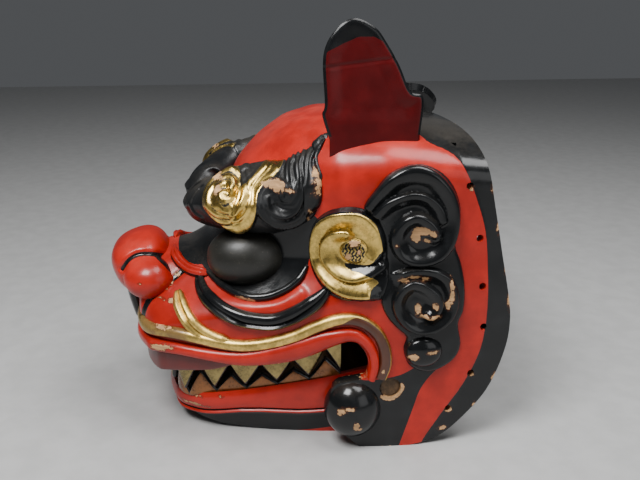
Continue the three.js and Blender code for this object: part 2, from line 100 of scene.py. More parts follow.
# Stitch holes through the sides (y, z) and through the top (x, y), and the bore of the rod.
STITCHES_SIDE = ((106, 234), (117, 189), (121, 147), (124, 110), (115, 67), (96, 34))
STITCHES_TOP = ((75, 92), (98, 99))
TOP_HOLES_FROM_Z = 240
HOLE_RADIUS = 3.2
ROD_AT = (44, 57)
ROD_BORE = 9.4
# Outline of the mane. The right one is cut off under the ear that is laid back.
MANE = ((20, 217), (28, 231.5), (38, 244), (50.5, 251), (65, 252.5), (79.5, 247.5), (91, 236), (98, 219),
        (99, 200), (96, 184), (101, 170), (105, 150), (105, 128), (101, 115), (104, 96), (99, 83), (86, 74),
        (73, 72), (59, 79), (54, 94), (56, 105), (48, 113), (39, 124), (34, 137), (37, 149), (39, 157),
        (38, 174), (35, 193), (29, 206))
MANE_UNCUT_Z = 400.0
MANE_CUT_Z = 222.0
# Edges of the painted fields: red band before the rear rim, roll under the eye, cheek plate, eye socket.
BAND_OUTER = ((66, 300), (70, 275), (76, 267), (92, 260), (100, 251), (111, 226), (122, 192), (126, 148),
              (126, 112), (121, 84), (108, 56), (89, 28), (74, 4), (70, -10))
BAND_INNER = ((96, 83), (80, 69), (70, 54), (64, 35), (54, 3), (50, -10))
ROLL_LINE = ((-104, 132), (-82, 129), (-64, 129), (-47, 133), (-31, 143))
PLATE_FRONT = ((-20, -10), (-20, 70), (16, 66))
PLATE_TOP = ((23, 64.5), (35, 65.5), (52, 69), (62, 74))
PLATE_CORNER = (80, 84)
SOCKET_REAR = ((-24, 163), (-19, 185), (-16, 205))
SOCKET_TOP = ((-30, 214), (-80, 206), (-118, 196), (-134, 184))
SOCKET_FRONT = ((-138, 172), (-135, 160), (-129, 154), (-121, 151.5), (-115, 152))
EYE_CORNER = ((-139, 160), (-136.5, 155.5), (-131, 150.5), (-122, 147), (-108, 146))
# Eye, lower jaw (side view, plan), teeth and gum.
EYE_CENTRE = (66, -73, 164)
EYE_RADII = (28, 36, 27)
JAW_TOP = np.array(((-150, 32), (-129, 34.5), (-107, 39.5), (-76, 45), (-40, 52.5), (-4, 60), (30, 67),
                   (62, 70)), float)
JAW_UNDER = np.array(((-150, 14), (-128, 8), (-104, 4), (-60, 0), (32, 0), (46, 14), (62, 42)), float)
JAW_PLAN = ((0, -149), (14, -148.6), (30, -147), (50, -142), (62, -133), (76, -115), (85, -90), (97, -40),
            (104, 0), (107, 62))
JAW_LIP_LOW = np.array(((-150, 18.5), (-133, 18.5), (-120, 20), (-104, 22.5), (-85, 25.5), (-67, 26.6),
                       (-33, 26.7), (-7, 29), (30, 31), (62, 42)), float)
JAW_MIDDLE = np.array((0.0, -20.0, 60.0))
TOOTH_SIDE_Y = np.array((4, -20, -45, -70, -95, -115, -130), float)
TOOTH_FRONT = ((52, -141.2, 0), (20, -143, 0), (-20, -143, 0), (-52, -141.2, 0))
TOOTH_FROM_WALL = 5.6
TOOTH_PITCH = 28
TOOTH_HALF = 4.5
LOWER_INSET = 5.5
LIP_OVERHANG = 10
GUM_Y = np.array((-84, -95, -108, -122, -136, -148, -158), float)
GUM_LOW = np.array(((-160, 61), (-104, 69), (-84, 78)), float)
# Ear in its own frame (y, z), where the two ears stand, and how far the right one is turned, in degrees.
EAR = ((-37, 4), (-43, 24), (-41, 33), (-42, 72), (-31, 92), (-17, 99), (-1, 92), (8, 81), (19, 63), (29, 42),
       (40, 36), (38, 4))
EAR_ENDS = ((-37, -10), (38, -10))
EAR_BLACK_TIP = np.array(((-43, 72), (-26, 80), (-14, 85), (-2, 85), (8, 80)), float)
EAR_WALL = 9.0
EAR_CELL = 1.25
EAR_SLACK = 0.4
EAR_INNER = np.array((-50.0, 0.0, 40.0))
STANDING_AT = np.array((95.5, 31, 266))
LAID_AT = np.array((-110.0, 42, 264))
LAID_BACK = -97
LAID_OUT = 32
# Path of the brow: x, y, z, depth outward and half of its height.
BROW = ((12, -108, 206, 10, 10), (22, -111, 206, 16, 19), (41, -105, 208, 20, 21), (63, -92, 214, 22, 25),
        (74, -71, 216, 22, 28), (80, -49, 218, 21, 30), (85, -35, 224, 18, 31), (89, -24, 230, 14, 31),
        (93, -17, 234, 10, 29), (91.5, -12.5, 244, 7, 23), (85.5, -9.5, 257, 5, 13),
        (80.5, -6.5, 266, 3.5, 6), (77, -3, 271, 2, 2))
# Carving of the brow: each row is a place along the brow's path, measured from its front end, and a height.
BROW_GOLD_RIM = ((105.4, 248.4), (106, 243.6), (102, 238), (94.5, 232.2), (90.3, 224.8), (89.1, 215.1),
                 (86.5, 205.6), (81.9, 197.5), (75.4, 193.9), (69.1, 197), (63.9, 205), (59.5, 213),
                 (56.5, 221), (56.1, 229), (60, 235), (66.9, 237.8), (72.8, 236))
BROW_GOLD_STRAND = ((101.5, 247.5), (97.4, 241.3), (90.4, 233.6), (86.9, 226), (86, 217.2), (83.3, 208.6),
                    (77.5, 204.1), (71.4, 206.1), (66.4, 211), (63.5, 218.6))
BROW_GOLD_INNER = ((98, 246.7), (91.4, 240.2), (85.6, 233.1), (83.7, 227.8), (82.9, 220.7), (80.7, 215),
                   (76.3, 210.4), (71, 211.6), (66.6, 217.3), (63.4, 223.1), (62.9, 228.8), (66.4, 232.3),
                   (71, 231.6), (73.4, 227.4), (72.4, 223.4), (69.6, 222.8))
BROW_BLACK_RIM = ((153.3, 267.9), (146.6, 264.8), (134.8, 257.4), (132.4, 250.5), (136.4, 241.3),
                  (138.3, 231), (136.7, 216.4), (129.3, 204.8), (117.6, 198.4), (106.3, 199.8), (96.4, 206.8),
                  (91.6, 215.9), (91, 223.4), (94, 229.4), (100.3, 233.4), (109.4, 234.2), (115.4, 232),
                  (117.8, 228), (116.4, 225))
BROW_BLACK_INNER = ((153.3, 268.6), (146.9, 265.9), (132.3, 259.2), (127.2, 253.9), (124, 248.1),
                    (126.8, 240), (131, 229.5), (128, 218.3), (121.4, 209.4), (112.8, 206.6), (104.2, 210.6),
                    (98.6, 217.2), (97.6, 223), (102, 227))
BROW_HAIRS = (
    ((153.6, 269.5), (147.2, 267.3), (138, 262.4), (125.1, 257), (118.5, 253), (115.4, 248), (117.6, 241.8),
     (121.8, 235.1), (124, 226)),
    ((153, 267.4), (146.2, 263.4), (139.4, 256.6), (138.9, 249.9), (141.1, 241.5), (141.6, 231.8),
     (140.8, 218.7), (136.6, 207), (126.7, 199)),
    ((96, 246.5), (85.9, 245), (75.4, 242.7), (71.3, 238.5), (70.8, 233.4)),
    ((97.5, 246.4), (90.4, 244), (82.9, 239.5), (79.9, 234.7), (79.9, 230.6)),
    ((94, 247.6), (81.4, 247.2), (68.8, 244), (58, 241)),
    ((20, 226), (13, 219), (14, 210), (22, 205), (31, 208), (32, 217), (26, 219)),
    ((40, 227), (34, 223), (36, 212), (43, 203), (52, 200)))
# Ribbons of the brow: curve, heights at its two ends, steep and gentle width.
BROW_RIBBONS = ((BROW_GOLD_RIM, (3.5, 5.0), 3.4, 11.0), (BROW_GOLD_STRAND, (3.0, 3.4), 2.2, 6.0),
                (BROW_GOLD_INNER, (3.4, 6.0), 2.6, 8.0), (BROW_BLACK_RIM, (2.4, 5.6), 3.0, 11.0),
                (BROW_BLACK_INNER, (2.0, 3.4), 2.2, 7.0))
BROW_GILDED = ((96, 250), (90, 241.7), (84, 233.4), (78.2, 229), (75.7, 234.4), (71.6, 240), (64.5, 241.5),
               (55.5, 238), (52, 229), (53, 219), (56.9, 210), (61, 202.5), (67.4, 193.9), (75.2, 191),
               (83.1, 194.7), (88.2, 204.9), (90.6, 215.1), (91.4, 224.2), (95.6, 230.6), (103.4, 236.6),
               (108, 243), (107, 250))
BROW_LEAN = 0.5
BROW_MIDDLE = np.array((70.0, -60.0, 220.0))
# The gilded snail, the hollow of the black curl and the field of its lines: middles and half-widths.
SNAIL = (69, 222, 18, 23)
BOWL = (109, 217, 13, 12)
CURL = (113, 214, 26, 20)
# Nose: middle, radii, power and tip of the bulb, middle and radii of the wings; strip, crease and groove.
NOSE_BULB = ((0, -168.5, 145), (42, 28, 27), 2.5, 20)
NOSE_WINGS = (((39, -160, 138), (22, 24, 19)), ((-39, -160, 138), (22, 24, 19)))
STRIP_PATH = ((0, -178, 130), (0, -177, 116), (0, -174, 100), (0, -170, 84))
STRIP_MIDDLE = np.array((0.0, -174.0, 105.0))
NOSE_CREASE = ((-186, 146), (-180, 154.5), (-172, 159.5), (-163, 160.5), (-153, 158), (-145, 152.5),
               (-138, 144))
NOSE_LINE = ((-131, 147), (-140, 140.5), (-150, 132.5), (-161, 123.5), (-167, 113), (-169, 104))
# Cheek spiral: outline, ribbons and the wedge that stays black. Mane: curves of its ribbons.
GOLD_EDGE = ((33.4, 138.7), (15.9, 137.2), (-0.5, 139.3), (-13.2, 146.8), (-20.6, 159.2), (-23, 179.7),
             (-19.4, 199.8), (-9, 211.8), (5.3, 216.9), (20.1, 215.6), (32.1, 207.1), (37.5, 192.9),
             (40.4, 173.7), (41.7, 156.9), (38.5, 144.4))
GOLD_RIM = ((33, 144), (16.6, 142.6), (2, 145), (-9.4, 152), (-16, 165), (-18, 183.6), (-14.2, 199),
            (-4.6, 208.6), (6.7, 212), (19.4, 210), (29.6, 201), (34, 189.7), (32.6, 179), (26.6, 171.6),
            (19, 169.4))
GOLD_RIDGE = ((40.5, 171), (31.6, 163), (21.2, 157.4), (10.7, 154.7), (0.5, 157.1), (-7.1, 165.6),
              (-10.3, 177), (-9, 187.4), (-2.8, 194.7), (5.9, 196.8), (12.5, 191.5))
GOLD_WEDGE = ((5.2, 169.2), (19.2, 168.2), (27.2, 170.6), (35.6, 182), (46, 176), (48, 130), (24, 132),
              (24.6, 143), (26.1, 148.5), (32.3, 154.1), (26, 157.7), (17, 161.5), (9, 163.6))
CURL_UPPER = ((17, 211.5), (27, 226.5), (38.5, 239.5), (51.5, 246), (64.7, 246.6), (77, 241.4), (86.6, 231),
              (92.4, 217), (93.4, 201.8), (90.2, 187.6), (82.4, 176.8), (71.5, 171.4), (58.8, 171.8),
              (49.4, 178.2), (44.7, 188.7), (46, 199.6), (53.4, 208.6), (63.7, 211), (74, 204.8),
              (78.6, 194.8), (74.6, 188.2))
CURL_STRAND = ((26, 208.6), (39.6, 222.8), (56.9, 229), (71.4, 226.1), (81.4, 216), (85.2, 202.2))
CURL_LOWER = ((43.5, 159.5), (58.9, 164), (75.9, 163.8), (89.8, 156), (96, 140.1), (92.5, 124), (80, 113.4),
              (64.3, 112.2), (51.2, 121.2), (45, 135.6), (48.6, 147.2), (58.9, 154.2), (70.4, 151.5),
              (80, 143.5), (82, 133.7), (75.6, 125.2), (65.8, 129.1))
# Ribbons of the mane: curve, heights at its two ends, steep and gentle width, and places along the curve.
MANE_RIBBONS = ((CURL_UPPER, (5.5, 8.0), 4.0, 13.0, 220), (CURL_STRAND, (5.0, 4.5), 2.4, 11.0, 150),
                (CURL_LOWER, (5.5, 8.0), 2.8, 12.0, 220))
# The mane's knob and the cones under its curls, and the middle of the spiral: middles and half-widths.
# The relief's grid has cells of RELIEF_CELL, and its edge lies EDGE_SINK under the skin.
RELIEF_CELL = 0.7
RELIEF_SLACK = 0.3
RELIEF_ROUND = 4.5
EDGE_SINK = 1.2
MANE_KNOB = (70.5, 92, 16, 13.5)
MANE_CONES = ((66, 194, 28, 28), (69, 138, 28, 28))
SPIRAL_EYE = (13, 180, 11, 11)
# Ball beside the jaw: middle and radii.
JAW_BOSS = ((114.5, 13, 36.5), (22.5, 25.5, 27.5))

# Chips down to the wood: middle and half-widths of each oval patch, on the brow placed as its carving is.
HEAD_CHIPS = ((146, 132, 1.6, 7), (137, 60, 2, 4), (120, 36, 2, 3), (126, 236, 1.6, 8), (133, 200, 1.4, 5),
              (107, 232.5, 3.4, 2.8), (116, 65.5, 3, 2.6), (97, 32.5, 3, 2.8), (92, 15, 3, 2),
              (142, 160, 1.4, 4), (-136, 144, 2.6, 1.6), (-142, 137.6, 2.2, 1.8), (-146, 133, 1.6, 1.4),
              (-152, 126, 3, 1), (-141, 126, 2.4, 1.2))
NOSE_CHIPS = ((-137, 138, 2.5, 2), (-168, 140, 0.8, 0.8))
BROW_CHIPS = ((58.5, 233, 3, 2.2), (62, 231.5, 2.6, 1.8), (64, 224, 1.6, 3), (97.5, 230.6, 4, 1.8),
              (103, 231.4, 4, 2.8), (109, 231, 5, 4), (114, 231, 2.6, 3), (119.5, 228.6, 3.4, 1.8),
              (138.4, 243, 1.8, 6), (139, 236, 1.8, 4), (138.2, 229, 1, 2.4), (134, 204, 1, 1.6),
              (136, 212, 0.8, 2))
LID_CHIPS = ((-82, 135, 5, 2), (-73, 134, 3, 1.6))
LINE_CHIPS = ((30, 84, 1.6, 2.4), (36, 76, 1.4, 2), (-150, 106, 4, 1.2), (-143, 107, 2, 0.8))
LIP_CHIPS = ((-154, 88, 7, 2.6), (-148, 90, 5, 1.6), (21, 78, 1.8, 1.8), (17, 70, 1.4, 2))
SPIRAL_CHIPS = ((8.5, 176, 2.6, 3), (12.5, 187.5, 4.2, 2.6), (17.5, 180, 1.6, 2))
MANE_CHIPS = ((61.5, 193, 3.6, 5), (67, 199, 6.5, 3.6), (74.5, 198, 3, 3), (71, 190.5, 3, 1.6),
              (52, 156.5, 3.6, 2), (60, 159, 6, 1.8), (70, 157.5, 3.6, 2), (91, 152.5, 1.9, 5),
              (91.5, 143, 1.9, 5), (89, 135, 1.6, 3), (64.5, 132, 2, 4), (70, 126, 5, 2.2), (78, 126, 5, 2.6),
              (77.5, 135, 2.4, 2.6), (61.5, 90, 4, 3), (76.5, 93.5, 4.5, 1.6), (45.5, 188, 1.2, 1.6))
JAW_CHIPS = ((-139, 35, 8, 1.6), (-124, 33, 4, 1), (-102, 36, 1.6, 0.8), (20, 8, 3, 3), (-127, 24, 9, 0.9))
BOSS_CHIPS = ((0, 42, 4.4, 2), (6, 44, 4, 1.6), (-2, 39.5, 2, 1.6), (13, 27, 2.6, 4), (15, 24, 2.6, 2))

# The stage, in metres: each light's name, place, aim, power and width, and the camera's angles in degrees.
LIGHTS = (("key", (0.6, -0.45, 1.2), (0.0, -0.02, 0.15), 23.0, 0.5),
          ("top", (0.3, 0.45, 1.3), (0.0, 0.05, 0.2), 15.0, 0.7),
          ("fill", (1.3, 0.9, 0.6), (0.05, 0.0, 0.15), 3.6, 0.9))
SKY_COLOUR = (0.75, 0.78, 0.82, 1)
SKY_STRENGTH = 0.11
FLOOR_TONES = ((0.42, 0.42, 0.415, 1), (0.46, 0.46, 0.455, 1))
CAMERA_AZIMUTH = 82
CAMERA_ELEVATION = 17
CAMERA_DISTANCE = 0.77
CAMERA_AIM_Z = 0.155
CAMERA_LENS = 44.55
CAMERA_SENSOR = 36.0


def smoothstep(value, low, high):
    """Cubic step from 0 at low to 1 at high."""
    t = np.clip((value - low) / (high - low), 0.0, 1.0)
    return t * t * (3.0 - 2.0 * t)


def bell(value, middle, half):
    """Smooth hump of height 1 at middle that ends half to each side."""
    return 1.0 - smoothstep(np.abs(value - middle), 0.0, half)


def dome(share):
    """Round rise: 1 at share 0, falling as a quarter circle to 0 at share 1."""
    return np.sqrt((1 - share ** 2).clip(0))


def table_at(rows, place):
    """Second value of a table at a place in its first one."""
    return np.interp(place, rows[:, 0], rows[:, 1])


def unit(ways):
    """Directions of length 1."""
    return ways / np.linalg.norm(ways, axis=-1, keepdims=True)


def signed_power(value, power):
    """Power of the size of a value, with the value's sign."""
    return np.sign(value) * np.abs(value) ** power


def oval_reach(u, v, patch):
    """Distance from the middle of an oval patch, as a share of its half-widths."""
    return np.hypot((u - patch[0]) / patch[2], (v - patch[1]) / patch[3])


def spline(rows, count, closed=False):
    """Catmull-Rom curve through the rows, sampled at even steps of its length."""
    p = np.asarray(rows, float)
    if closed:
        ring = np.vstack([p[-1:], p, p[:2]])
    else:
        ring = np.vstack([2 * p[:1] - p[1:2], p, 2 * p[-1:] - p[-2:-1]])
    spans = len(ring) - 3
    t = np.linspace(0, spans, 32 * spans + 1)
    i = np.minimum(t.astype(int), spans - 1)
    f = (t - i)[:, None]
    a, b, c, d = ring[i], ring[i + 1], ring[i + 2], ring[i + 3]
    fine = b + 0.5 * f * (c - a + f * (2 * a - 5 * b + 4 * c - d + f * (3 * (b - c) + d - a)))
    length = np.r_[0, np.cumsum(np.linalg.norm(np.diff(fine, axis=0), axis=1))]
    places = np.linspace(0, length[-1], count + 1)[:-1] if closed else np.linspace(0, length[-1], count)
    return np.stack([np.interp(places, length, column) for column in fine.T], axis=1)


SECTION_Y = np.arange(-200.0, 201.0)


def smoothed(column):
    """A column of the section table at every millimetre, rounded by a bell 4 mm wide."""
    kernel = np.exp(-0.5 * (np.arange(-12, 13) / 4.0) ** 2)
    values = np.pad(np.interp(SECTION_Y, SECTIONS[:, 0], column), 12, mode="edge")
    return np.convolve(values, kernel / kernel.sum(), mode="valid")


SECTION_TABLE = [smoothed(SECTIONS[:, k]) for k in range(1, 6)]


def section(y):
    """Crown height, upper and lower half-width, shelf height and arch rise of the head at y."""
    return [np.interp(y, SECTION_Y, column) for column in SECTION_TABLE]


def half_width(y, z):
    """Half of the head's width: a superellipse arch at the crown that steps out to the cheek below the
    shelf."""
    top, upper, lower, shelf, rise = section(y)
    q = np.clip((z - top + rise) / rise, 0.0, 1.0)
    arch = upper * (1.0 - q ** ARCH_POWER) ** (1.0 / ARCH_POWER)
    cheek = 1.0 - smoothstep(z, shelf - SHELF_BELOW, shelf + SHELF_ABOVE)
    return arch + (lower - arch) * cheek


def on_head(y, z, lift=0.0):
    """Places on the left side of the head, moved out by lift along the surface's own normal."""
    y, z = np.asarray(y, float), np.asarray(z, float)
    slope_y = half_width(y + 1, z) - half_width(y - 1, z)
    slope_z = half_width(y, z + 1) - half_width(y, z - 1)
    normal = unit(np.stack([np.full_like(y, 2.0), -slope_y, -slope_z], axis=-1))
    lift = np.broadcast_to(lift, y.shape)[..., None]
    return np.stack([half_width(y, z), y, z], axis=-1) + lift * normal


def inside(y, z, outline):
    """Distance to a closed outline in the side view, positive inside, and the nearest place on the
    outline."""
    flat = np.stack([np.ravel(y), np.ravel(z)], axis=-1)
    a = np.asarray(outline, float)
    e = np.roll(a, -1, axis=0) - a
    rise = np.where(np.abs(e[:, 1]) < 1e-9, 1e-9, e[:, 1])
    depths, nears = [], []
    for part in np.array_split(flat, max(1, len(flat) // 6000)):
        p = part[:, None, :]
        t = np.clip(((p - a) * e).sum(-1) / (e * e).sum(-1).clip(1e-9), 0, 1)
        near = a + t[..., None] * e
        gap = np.linalg.norm(p - near, axis=-1)
        pick = gap.argmin(1)
        row = np.arange(len(part))
        crosses = (a[:, 1] > p[..., 1]) != (np.roll(a[:, 1], -1) > p[..., 1])
        left = p[..., 0] < a[:, 0] + (p[..., 1] - a[:, 1]) * e[:, 0] / rise
        depths.append(gap[row, pick] * np.where((crosses & left).sum(1) % 2 == 1, 1, -1))
        nears.append(near[row, pick])
    return np.concatenate(depths).reshape(np.shape(y)), np.concatenate(nears).reshape(np.shape(y) + (2,))


def near_line(y, z, rows, count=60):
    """Distance in the side view to an open curve through the rows."""
    line = spline(rows, count)
    gap = np.hypot(np.ravel(y)[:, None] - line[:, 0], np.ravel(z)[:, None] - line[:, 1])
    return gap.min(1).reshape(np.shape(y))


def blobs(y, z, rows):
    """Depth inside the nearest of some oval patches, each given by its centre and its two half-widths."""
    depth = np.full(np.shape(y), FAR)
    for patch in rows:
        depth = np.maximum(depth, (1.0 - oval_reach(y, z, patch)) * min(patch[2:]))
    return depth


def ribbon(u, v, rows, height, steep, gentle, count=150):
    """Carved ribbon along a curve: full height on the curve, a quarter-round fall over steep to the left
    of the way and a half-cosine fall over gentle to its right. The height changes evenly along the way and
    fades at its ends."""
    line = spline(rows, count)
    way = np.gradient(line, axis=0)
    step = np.linalg.norm(way, axis=1)
    way /= step[:, None]
    place = np.arange(count)
    tall = np.linspace(*height, count) * np.clip(np.minimum(place, place[::-1]) / 9 + 0.1, 0, 1)
    best = []
    for part in np.array_split(np.stack([np.ravel(u), np.ravel(v)], axis=-1), max(1, np.size(u) // 4000)):
        gap = part[:, None] - line
        along = np.abs((gap * way).sum(-1))
        right = gap[..., 0] * way[:, 1] - gap[..., 1] * way[:, 0]
        left_fall = dome(right / steep)
        right_fall = 0.5 + 0.5 * np.cos(np.pi * (right / gentle).clip(0, 1))
        best.append((tall * np.where(right < 0, left_fall, right_fall) * (along < 0.9 * step)).max(1))
    return np.concatenate(best).reshape(np.shape(u))


def grid_faces(rows, columns, closed=False):
    """Four-cornered faces of a grid of places; in a closed grid the last column joins the first one."""
    index = np.arange(rows * columns).reshape(rows, columns)
    if closed:
        index = np.hstack([index, index[:, :1]])
    return np.stack([index[:-1, :-1], index[1:, :-1], index[1:, 1:], index[:-1, 1:]], axis=-1).reshape(-1, 4)


def tube(points, paint):
    """Shape of a closed grid of places with its paint."""
    return points.reshape(-1, 3), grid_faces(*points.shape[:2], closed=True), paint


def capped(rings):
    """Rings of places with both ends drawn together to their middles."""
    ends = [np.broadcast_to(ring.mean(axis=0), ring.shape)[None] for ring in (rings[0], rings[-1])]
    return np.concatenate([ends[0], rings, ends[1]])


def in_wall(points):
    """Places on the left side, none of them deeper than SUNK behind the head's skin."""
    deepest = half_width(points[..., 1], points[..., 2]) - SUNK
    return np.concatenate([np.maximum(points[..., :1], deepest[..., None]), points[..., 1:]], axis=-1)


def cut_grid(y_range, z_range, cell, outline, slack):
    """Square cells inside an outline in the side view: corners outside it, or closer to it than slack, slide
    on to it. Gives y, z, faces and the depth inside the outline."""
    y, z = np.meshgrid(np.arange(*y_range, cell), np.arange(*z_range, cell), indexing="ij")
    depth, near = inside(y, z, outline)
    out = depth < slack
    faces = grid_faces(*y.shape)
    faces = faces[~out.ravel()[faces].all(axis=1)]
    return np.where(out, near[..., 0], y), np.where(out, near[..., 1], z), faces, np.where(out, 0.0, depth)


def used(points, faces, paint):
    """Drops the places that no face uses."""
    kept, where = np.unique(faces, return_inverse=True)
    paint = {key: np.resize(values, points.size // 3)[kept] for key, values in paint.items()}
    return points.reshape(-1, 3)[kept], where.reshape(faces.shape), paint


def face_normals(points, faces):
    """Normals of the faces from their diagonals, as long as twice the faces' areas."""
    corners = points[faces]
    return np.cross(corners[:, 2] - corners[:, 0], corners[:, 3] - corners[:, 1])


def vertex_normals(points, faces):
    """Normals of the places, from the areas and directions of the faces around them."""
    total = np.zeros_like(points)
    for k in range(4):
        np.add.at(total, faces[:, k], face_normals(points, faces))
    return total / np.linalg.norm(total, axis=1, keepdims=True).clip(1e-12)


def turned_out(points, faces, middle):
    """Faces in the order that makes them look away from the middle."""
    away = points[faces].mean(axis=1) - middle
    return faces if (away * face_normals(points, faces)).sum() > 0 else faces[:, ::-1]


def thicken(points, faces, wall):
    """A second skin, wall deeper along the normals, joined to the first one along its open edges."""
    size = len(points)
    inner = points - wall * vertex_normals(points, faces)
    edges = np.concatenate([faces[:, [k, (k + 1) % 4]] for k in range(4)])
    edges = edges[edges[:, 0] != edges[:, 1]]
    codes = np.sort(edges, axis=1) @ np.array([size, 1])
    _, first, count = np.unique(codes, return_index=True, return_counts=True)
    border = edges[first[count == 1]]
    rim = np.stack([border[:, 1], border[:, 0], border[:, 0] + size, border[:, 1] + size], axis=-1)
    return np.vstack([points, inner]), np.vstack([faces, faces[:, ::-1] + size, rim])


def sweep(path, out, profile, scale=None):
    """A closed profile carried along a path: its first value goes across the path, its second one outward.
    Scale sizes the profile along the path, and both ends are drawn together to a point."""
    path, profile = np.asarray(path, float), np.asarray(profile, float)
    tangent = unit(np.gradient(path, axis=0))
    across = unit(np.cross(tangent, out))
    out = np.cross(across, tangent)
    size = np.ones((1, 1, 1)) if scale is None else scale[:, None, None]
    rings = profile[..., :1] * across[:, None] + profile[..., 1:] * out[:, None]
    return capped(path[:, None] + size * rings)


def outward(places):
    """Level direction out of the head: sideways along the cheeks, forward round the front of the muzzle."""
    forward = np.minimum(0, (places[:, 1] + 145) / 25)
    return unit(np.stack([places[:, 0] / 100, forward, np.zeros(len(places))], axis=-1))


def round_muzzle(rows, lift, count):
    """Curve from the left corner of the mouth round the front of the muzzle to the right corner."""
    y, z = np.array(rows, float).T
    left = on_head(y, z, lift)
    front = np.array(MUZZLE_FRONT, float) + (0, HEAD_FRONT - lift, z[-1])
    return spline(np.vstack([left, front, left[::-1] * LEFT_TO_RIGHT]), count)


def oval(count, half, depth, power):
    """Closed oval profile, half wide across and depth high outward, squarer with a power under 1."""
    a = np.linspace(0, 2 * np.pi, count, endpoint=False)
    c, s = np.cos(a), np.sin(a)
    return np.stack([half * signed_power(c, power), depth * signed_power(s, power)], axis=-1)


def sized(profile, across, out):
    """A profile for each place of a path, sized across the path and outward there."""
    return profile[None] * np.stack(np.broadcast_arrays(across, out), axis=-1)[:, None]


def ball(centre, radii, rows, columns):
    """Oval ball: latitude and longitude on a grid, poles up and down."""
    a = np.linspace(0, np.pi, rows)[:, None]
    b = np.linspace(0, 2 * np.pi, columns, endpoint=False)[None]
    ways = np.stack([np.sin(a) * np.cos(b), np.sin(a) * np.sin(b), np.cos(a) + 0 * b], axis=-1)
    return np.asarray(centre) + ways * np.asarray(radii)


def head_outline():
    """Side outline of the head: mouth, front and foot of the cheek plate, rear rim, crown and front."""
    return np.vstack([spline(LIP, 50)[::-1], spline(TONGUE, 16), spline(RIM, 60), [(-220, 300), (-220, 81)]])


def black_fields(y, z):
    """How far a place on the head lies inside the black fields (rear rim, cheek plate, eye socket, nose
    line), and how far inside the rear rim alone."""
    rear = np.vstack([spline(BAND_OUTER, 50), [(220, -10), (220, 300)]])
    plate = np.vstack([PLATE_FRONT, spline(PLATE_TOP, 12), [PLATE_CORNER], spline(BAND_INNER, 24)])
    socket = np.vstack([spline(LID_LINE, 30), spline(SOCKET_REAR, 12)[1:], SOCKET_TOP,
                        spline(SOCKET_FRONT, 12)])
    depths = [inside(y, z, outline)[0] for outline in (rear, plate, socket)]
    return np.maximum.reduce([*depths, 2.0 - near_line(y, z, NOSE_LINE)]), depths[0]


def head_skin():
    """Outer skin of the head: sections stand along Y, each from the left foot over the crown to the right
    foot. It is cut to the side outline and round the holes, with a roll under the eye and a groove beside
    the nose."""
    turn = np.cos(np.linspace(0, np.pi / 2, 8)[:-1])
    stations = np.concatenate([
        HEAD_FRONT - FRONT_ROUND * turn, np.arange(HEAD_FRONT, 31, 2.5), np.arange(32, 57, 1.3),
        np.arange(58, 88, 2.5), np.arange(88.8, 152, 1.6)])[:, None]
    arch = np.linspace(0, np.pi / 2, 28)[None]
    fall = np.linspace(0, 1, 120)[None, 1:]

    def arch_height(y):
        """Heights over the crown's arch at y."""
        top, _, _, _, rise = section(y)
        return top - rise * (1 - np.cos(arch) ** (2 / ARCH_POWER))

    floor = table_at(HEAD_FLOOR, stations)
    foot = arch_height(stations)[:, -1:]
    z_plain = np.hstack([arch_height(stations), foot + (floor - foot) * fall])
    y_plain = np.broadcast_to(stations, z_plain.shape)
    depth, near = inside(y_plain, z_plain, head_outline())
    out = depth < HEAD_SLACK
    y, z = np.where(out, near[..., 0], y_plain), np.where(out, near[..., 1], z_plain)
    z[:, :arch.shape[1]] = arch_height(y[:, :arch.shape[1]])
    x = half_width(y, z) * np.sqrt(1 - (np.clip(HEAD_FRONT - y, 0, FRONT_ROUND) / FRONT_ROUND) ** 2)
    left = np.stack([x, y, z], axis=-1)
    points = np.hstack([left[:, ::-1], left[:, 1:] * LEFT_TO_RIGHT])
    depth = np.hstack([depth[:, ::-1], depth[:, 1:]])
    faces = grid_faces(*depth.shape)
    faces = faces[~(depth < HEAD_SLACK).ravel()[faces].all(axis=1)]
    points, depth = points.reshape(-1, 3), depth.ravel()
    gone = np.zeros(len(points), bool)
    side_holes = [(place, HOLE_RADIUS, False) for place in STITCHES_SIDE] + [(ROD_AT, ROD_BORE, False)]
    for place, radius, on_top in side_holes + [(place, HOLE_RADIUS, True) for place in STITCHES_TOP]:
        columns = [0, 1] if on_top else [1, 2]
        flat = np.abs(points[:, columns]) if on_top else points[:, columns]
        away = flat - place
        reach = np.linalg.norm(away, axis=1)
        hit = (reach < radius + 0.25) & (points[:, 2] > (TOP_HOLES_FROM_Z if on_top else 0))
        moved = place + away[hit] * (radius / reach[hit].clip(0.05))[:, None]
        points[np.ix_(hit, columns)] = moved * (np.sign(points[hit][:, columns]) if on_top else 1)
        gone |= hit
    faces = faces[~gone[faces].all(axis=1)]
    y, z = points[:, 1], points[:, 2]
    black, rear = black_fields(y, z)
    roll = near_line(y, z, ROLL_LINE)
    groove = near_line(y, z, NOSE_LINE)
    rise = 2.2 * bell(roll, 0, 6.5) - 0.9 * smoothstep(rear, -0.6, 0.6) - 2.0 * bell(groove, 0, 3.4)
    points = points + rise[:, None] * vertex_normals(points, turned_out(points, faces, HEAD_MIDDLE))
    ring = np.hypot(y - ROD_AT[0], z - ROD_AT[1]) - ROD_BORE
    crescent = np.minimum(2.4 - ring, 0.35 * (y - ROD_AT[0]) - 0.5 * (z - ROD_AT[1]) - 1.5)
    wear = np.maximum.reduce([2.2 - depth, 1.6 - np.abs(rear), 3.0 - 1.6 * groove])
    paint = {"black": black, "chip": np.maximum(blobs(y, z, HEAD_CHIPS), crescent), "wear": wear}
    return used(points, faces, paint)


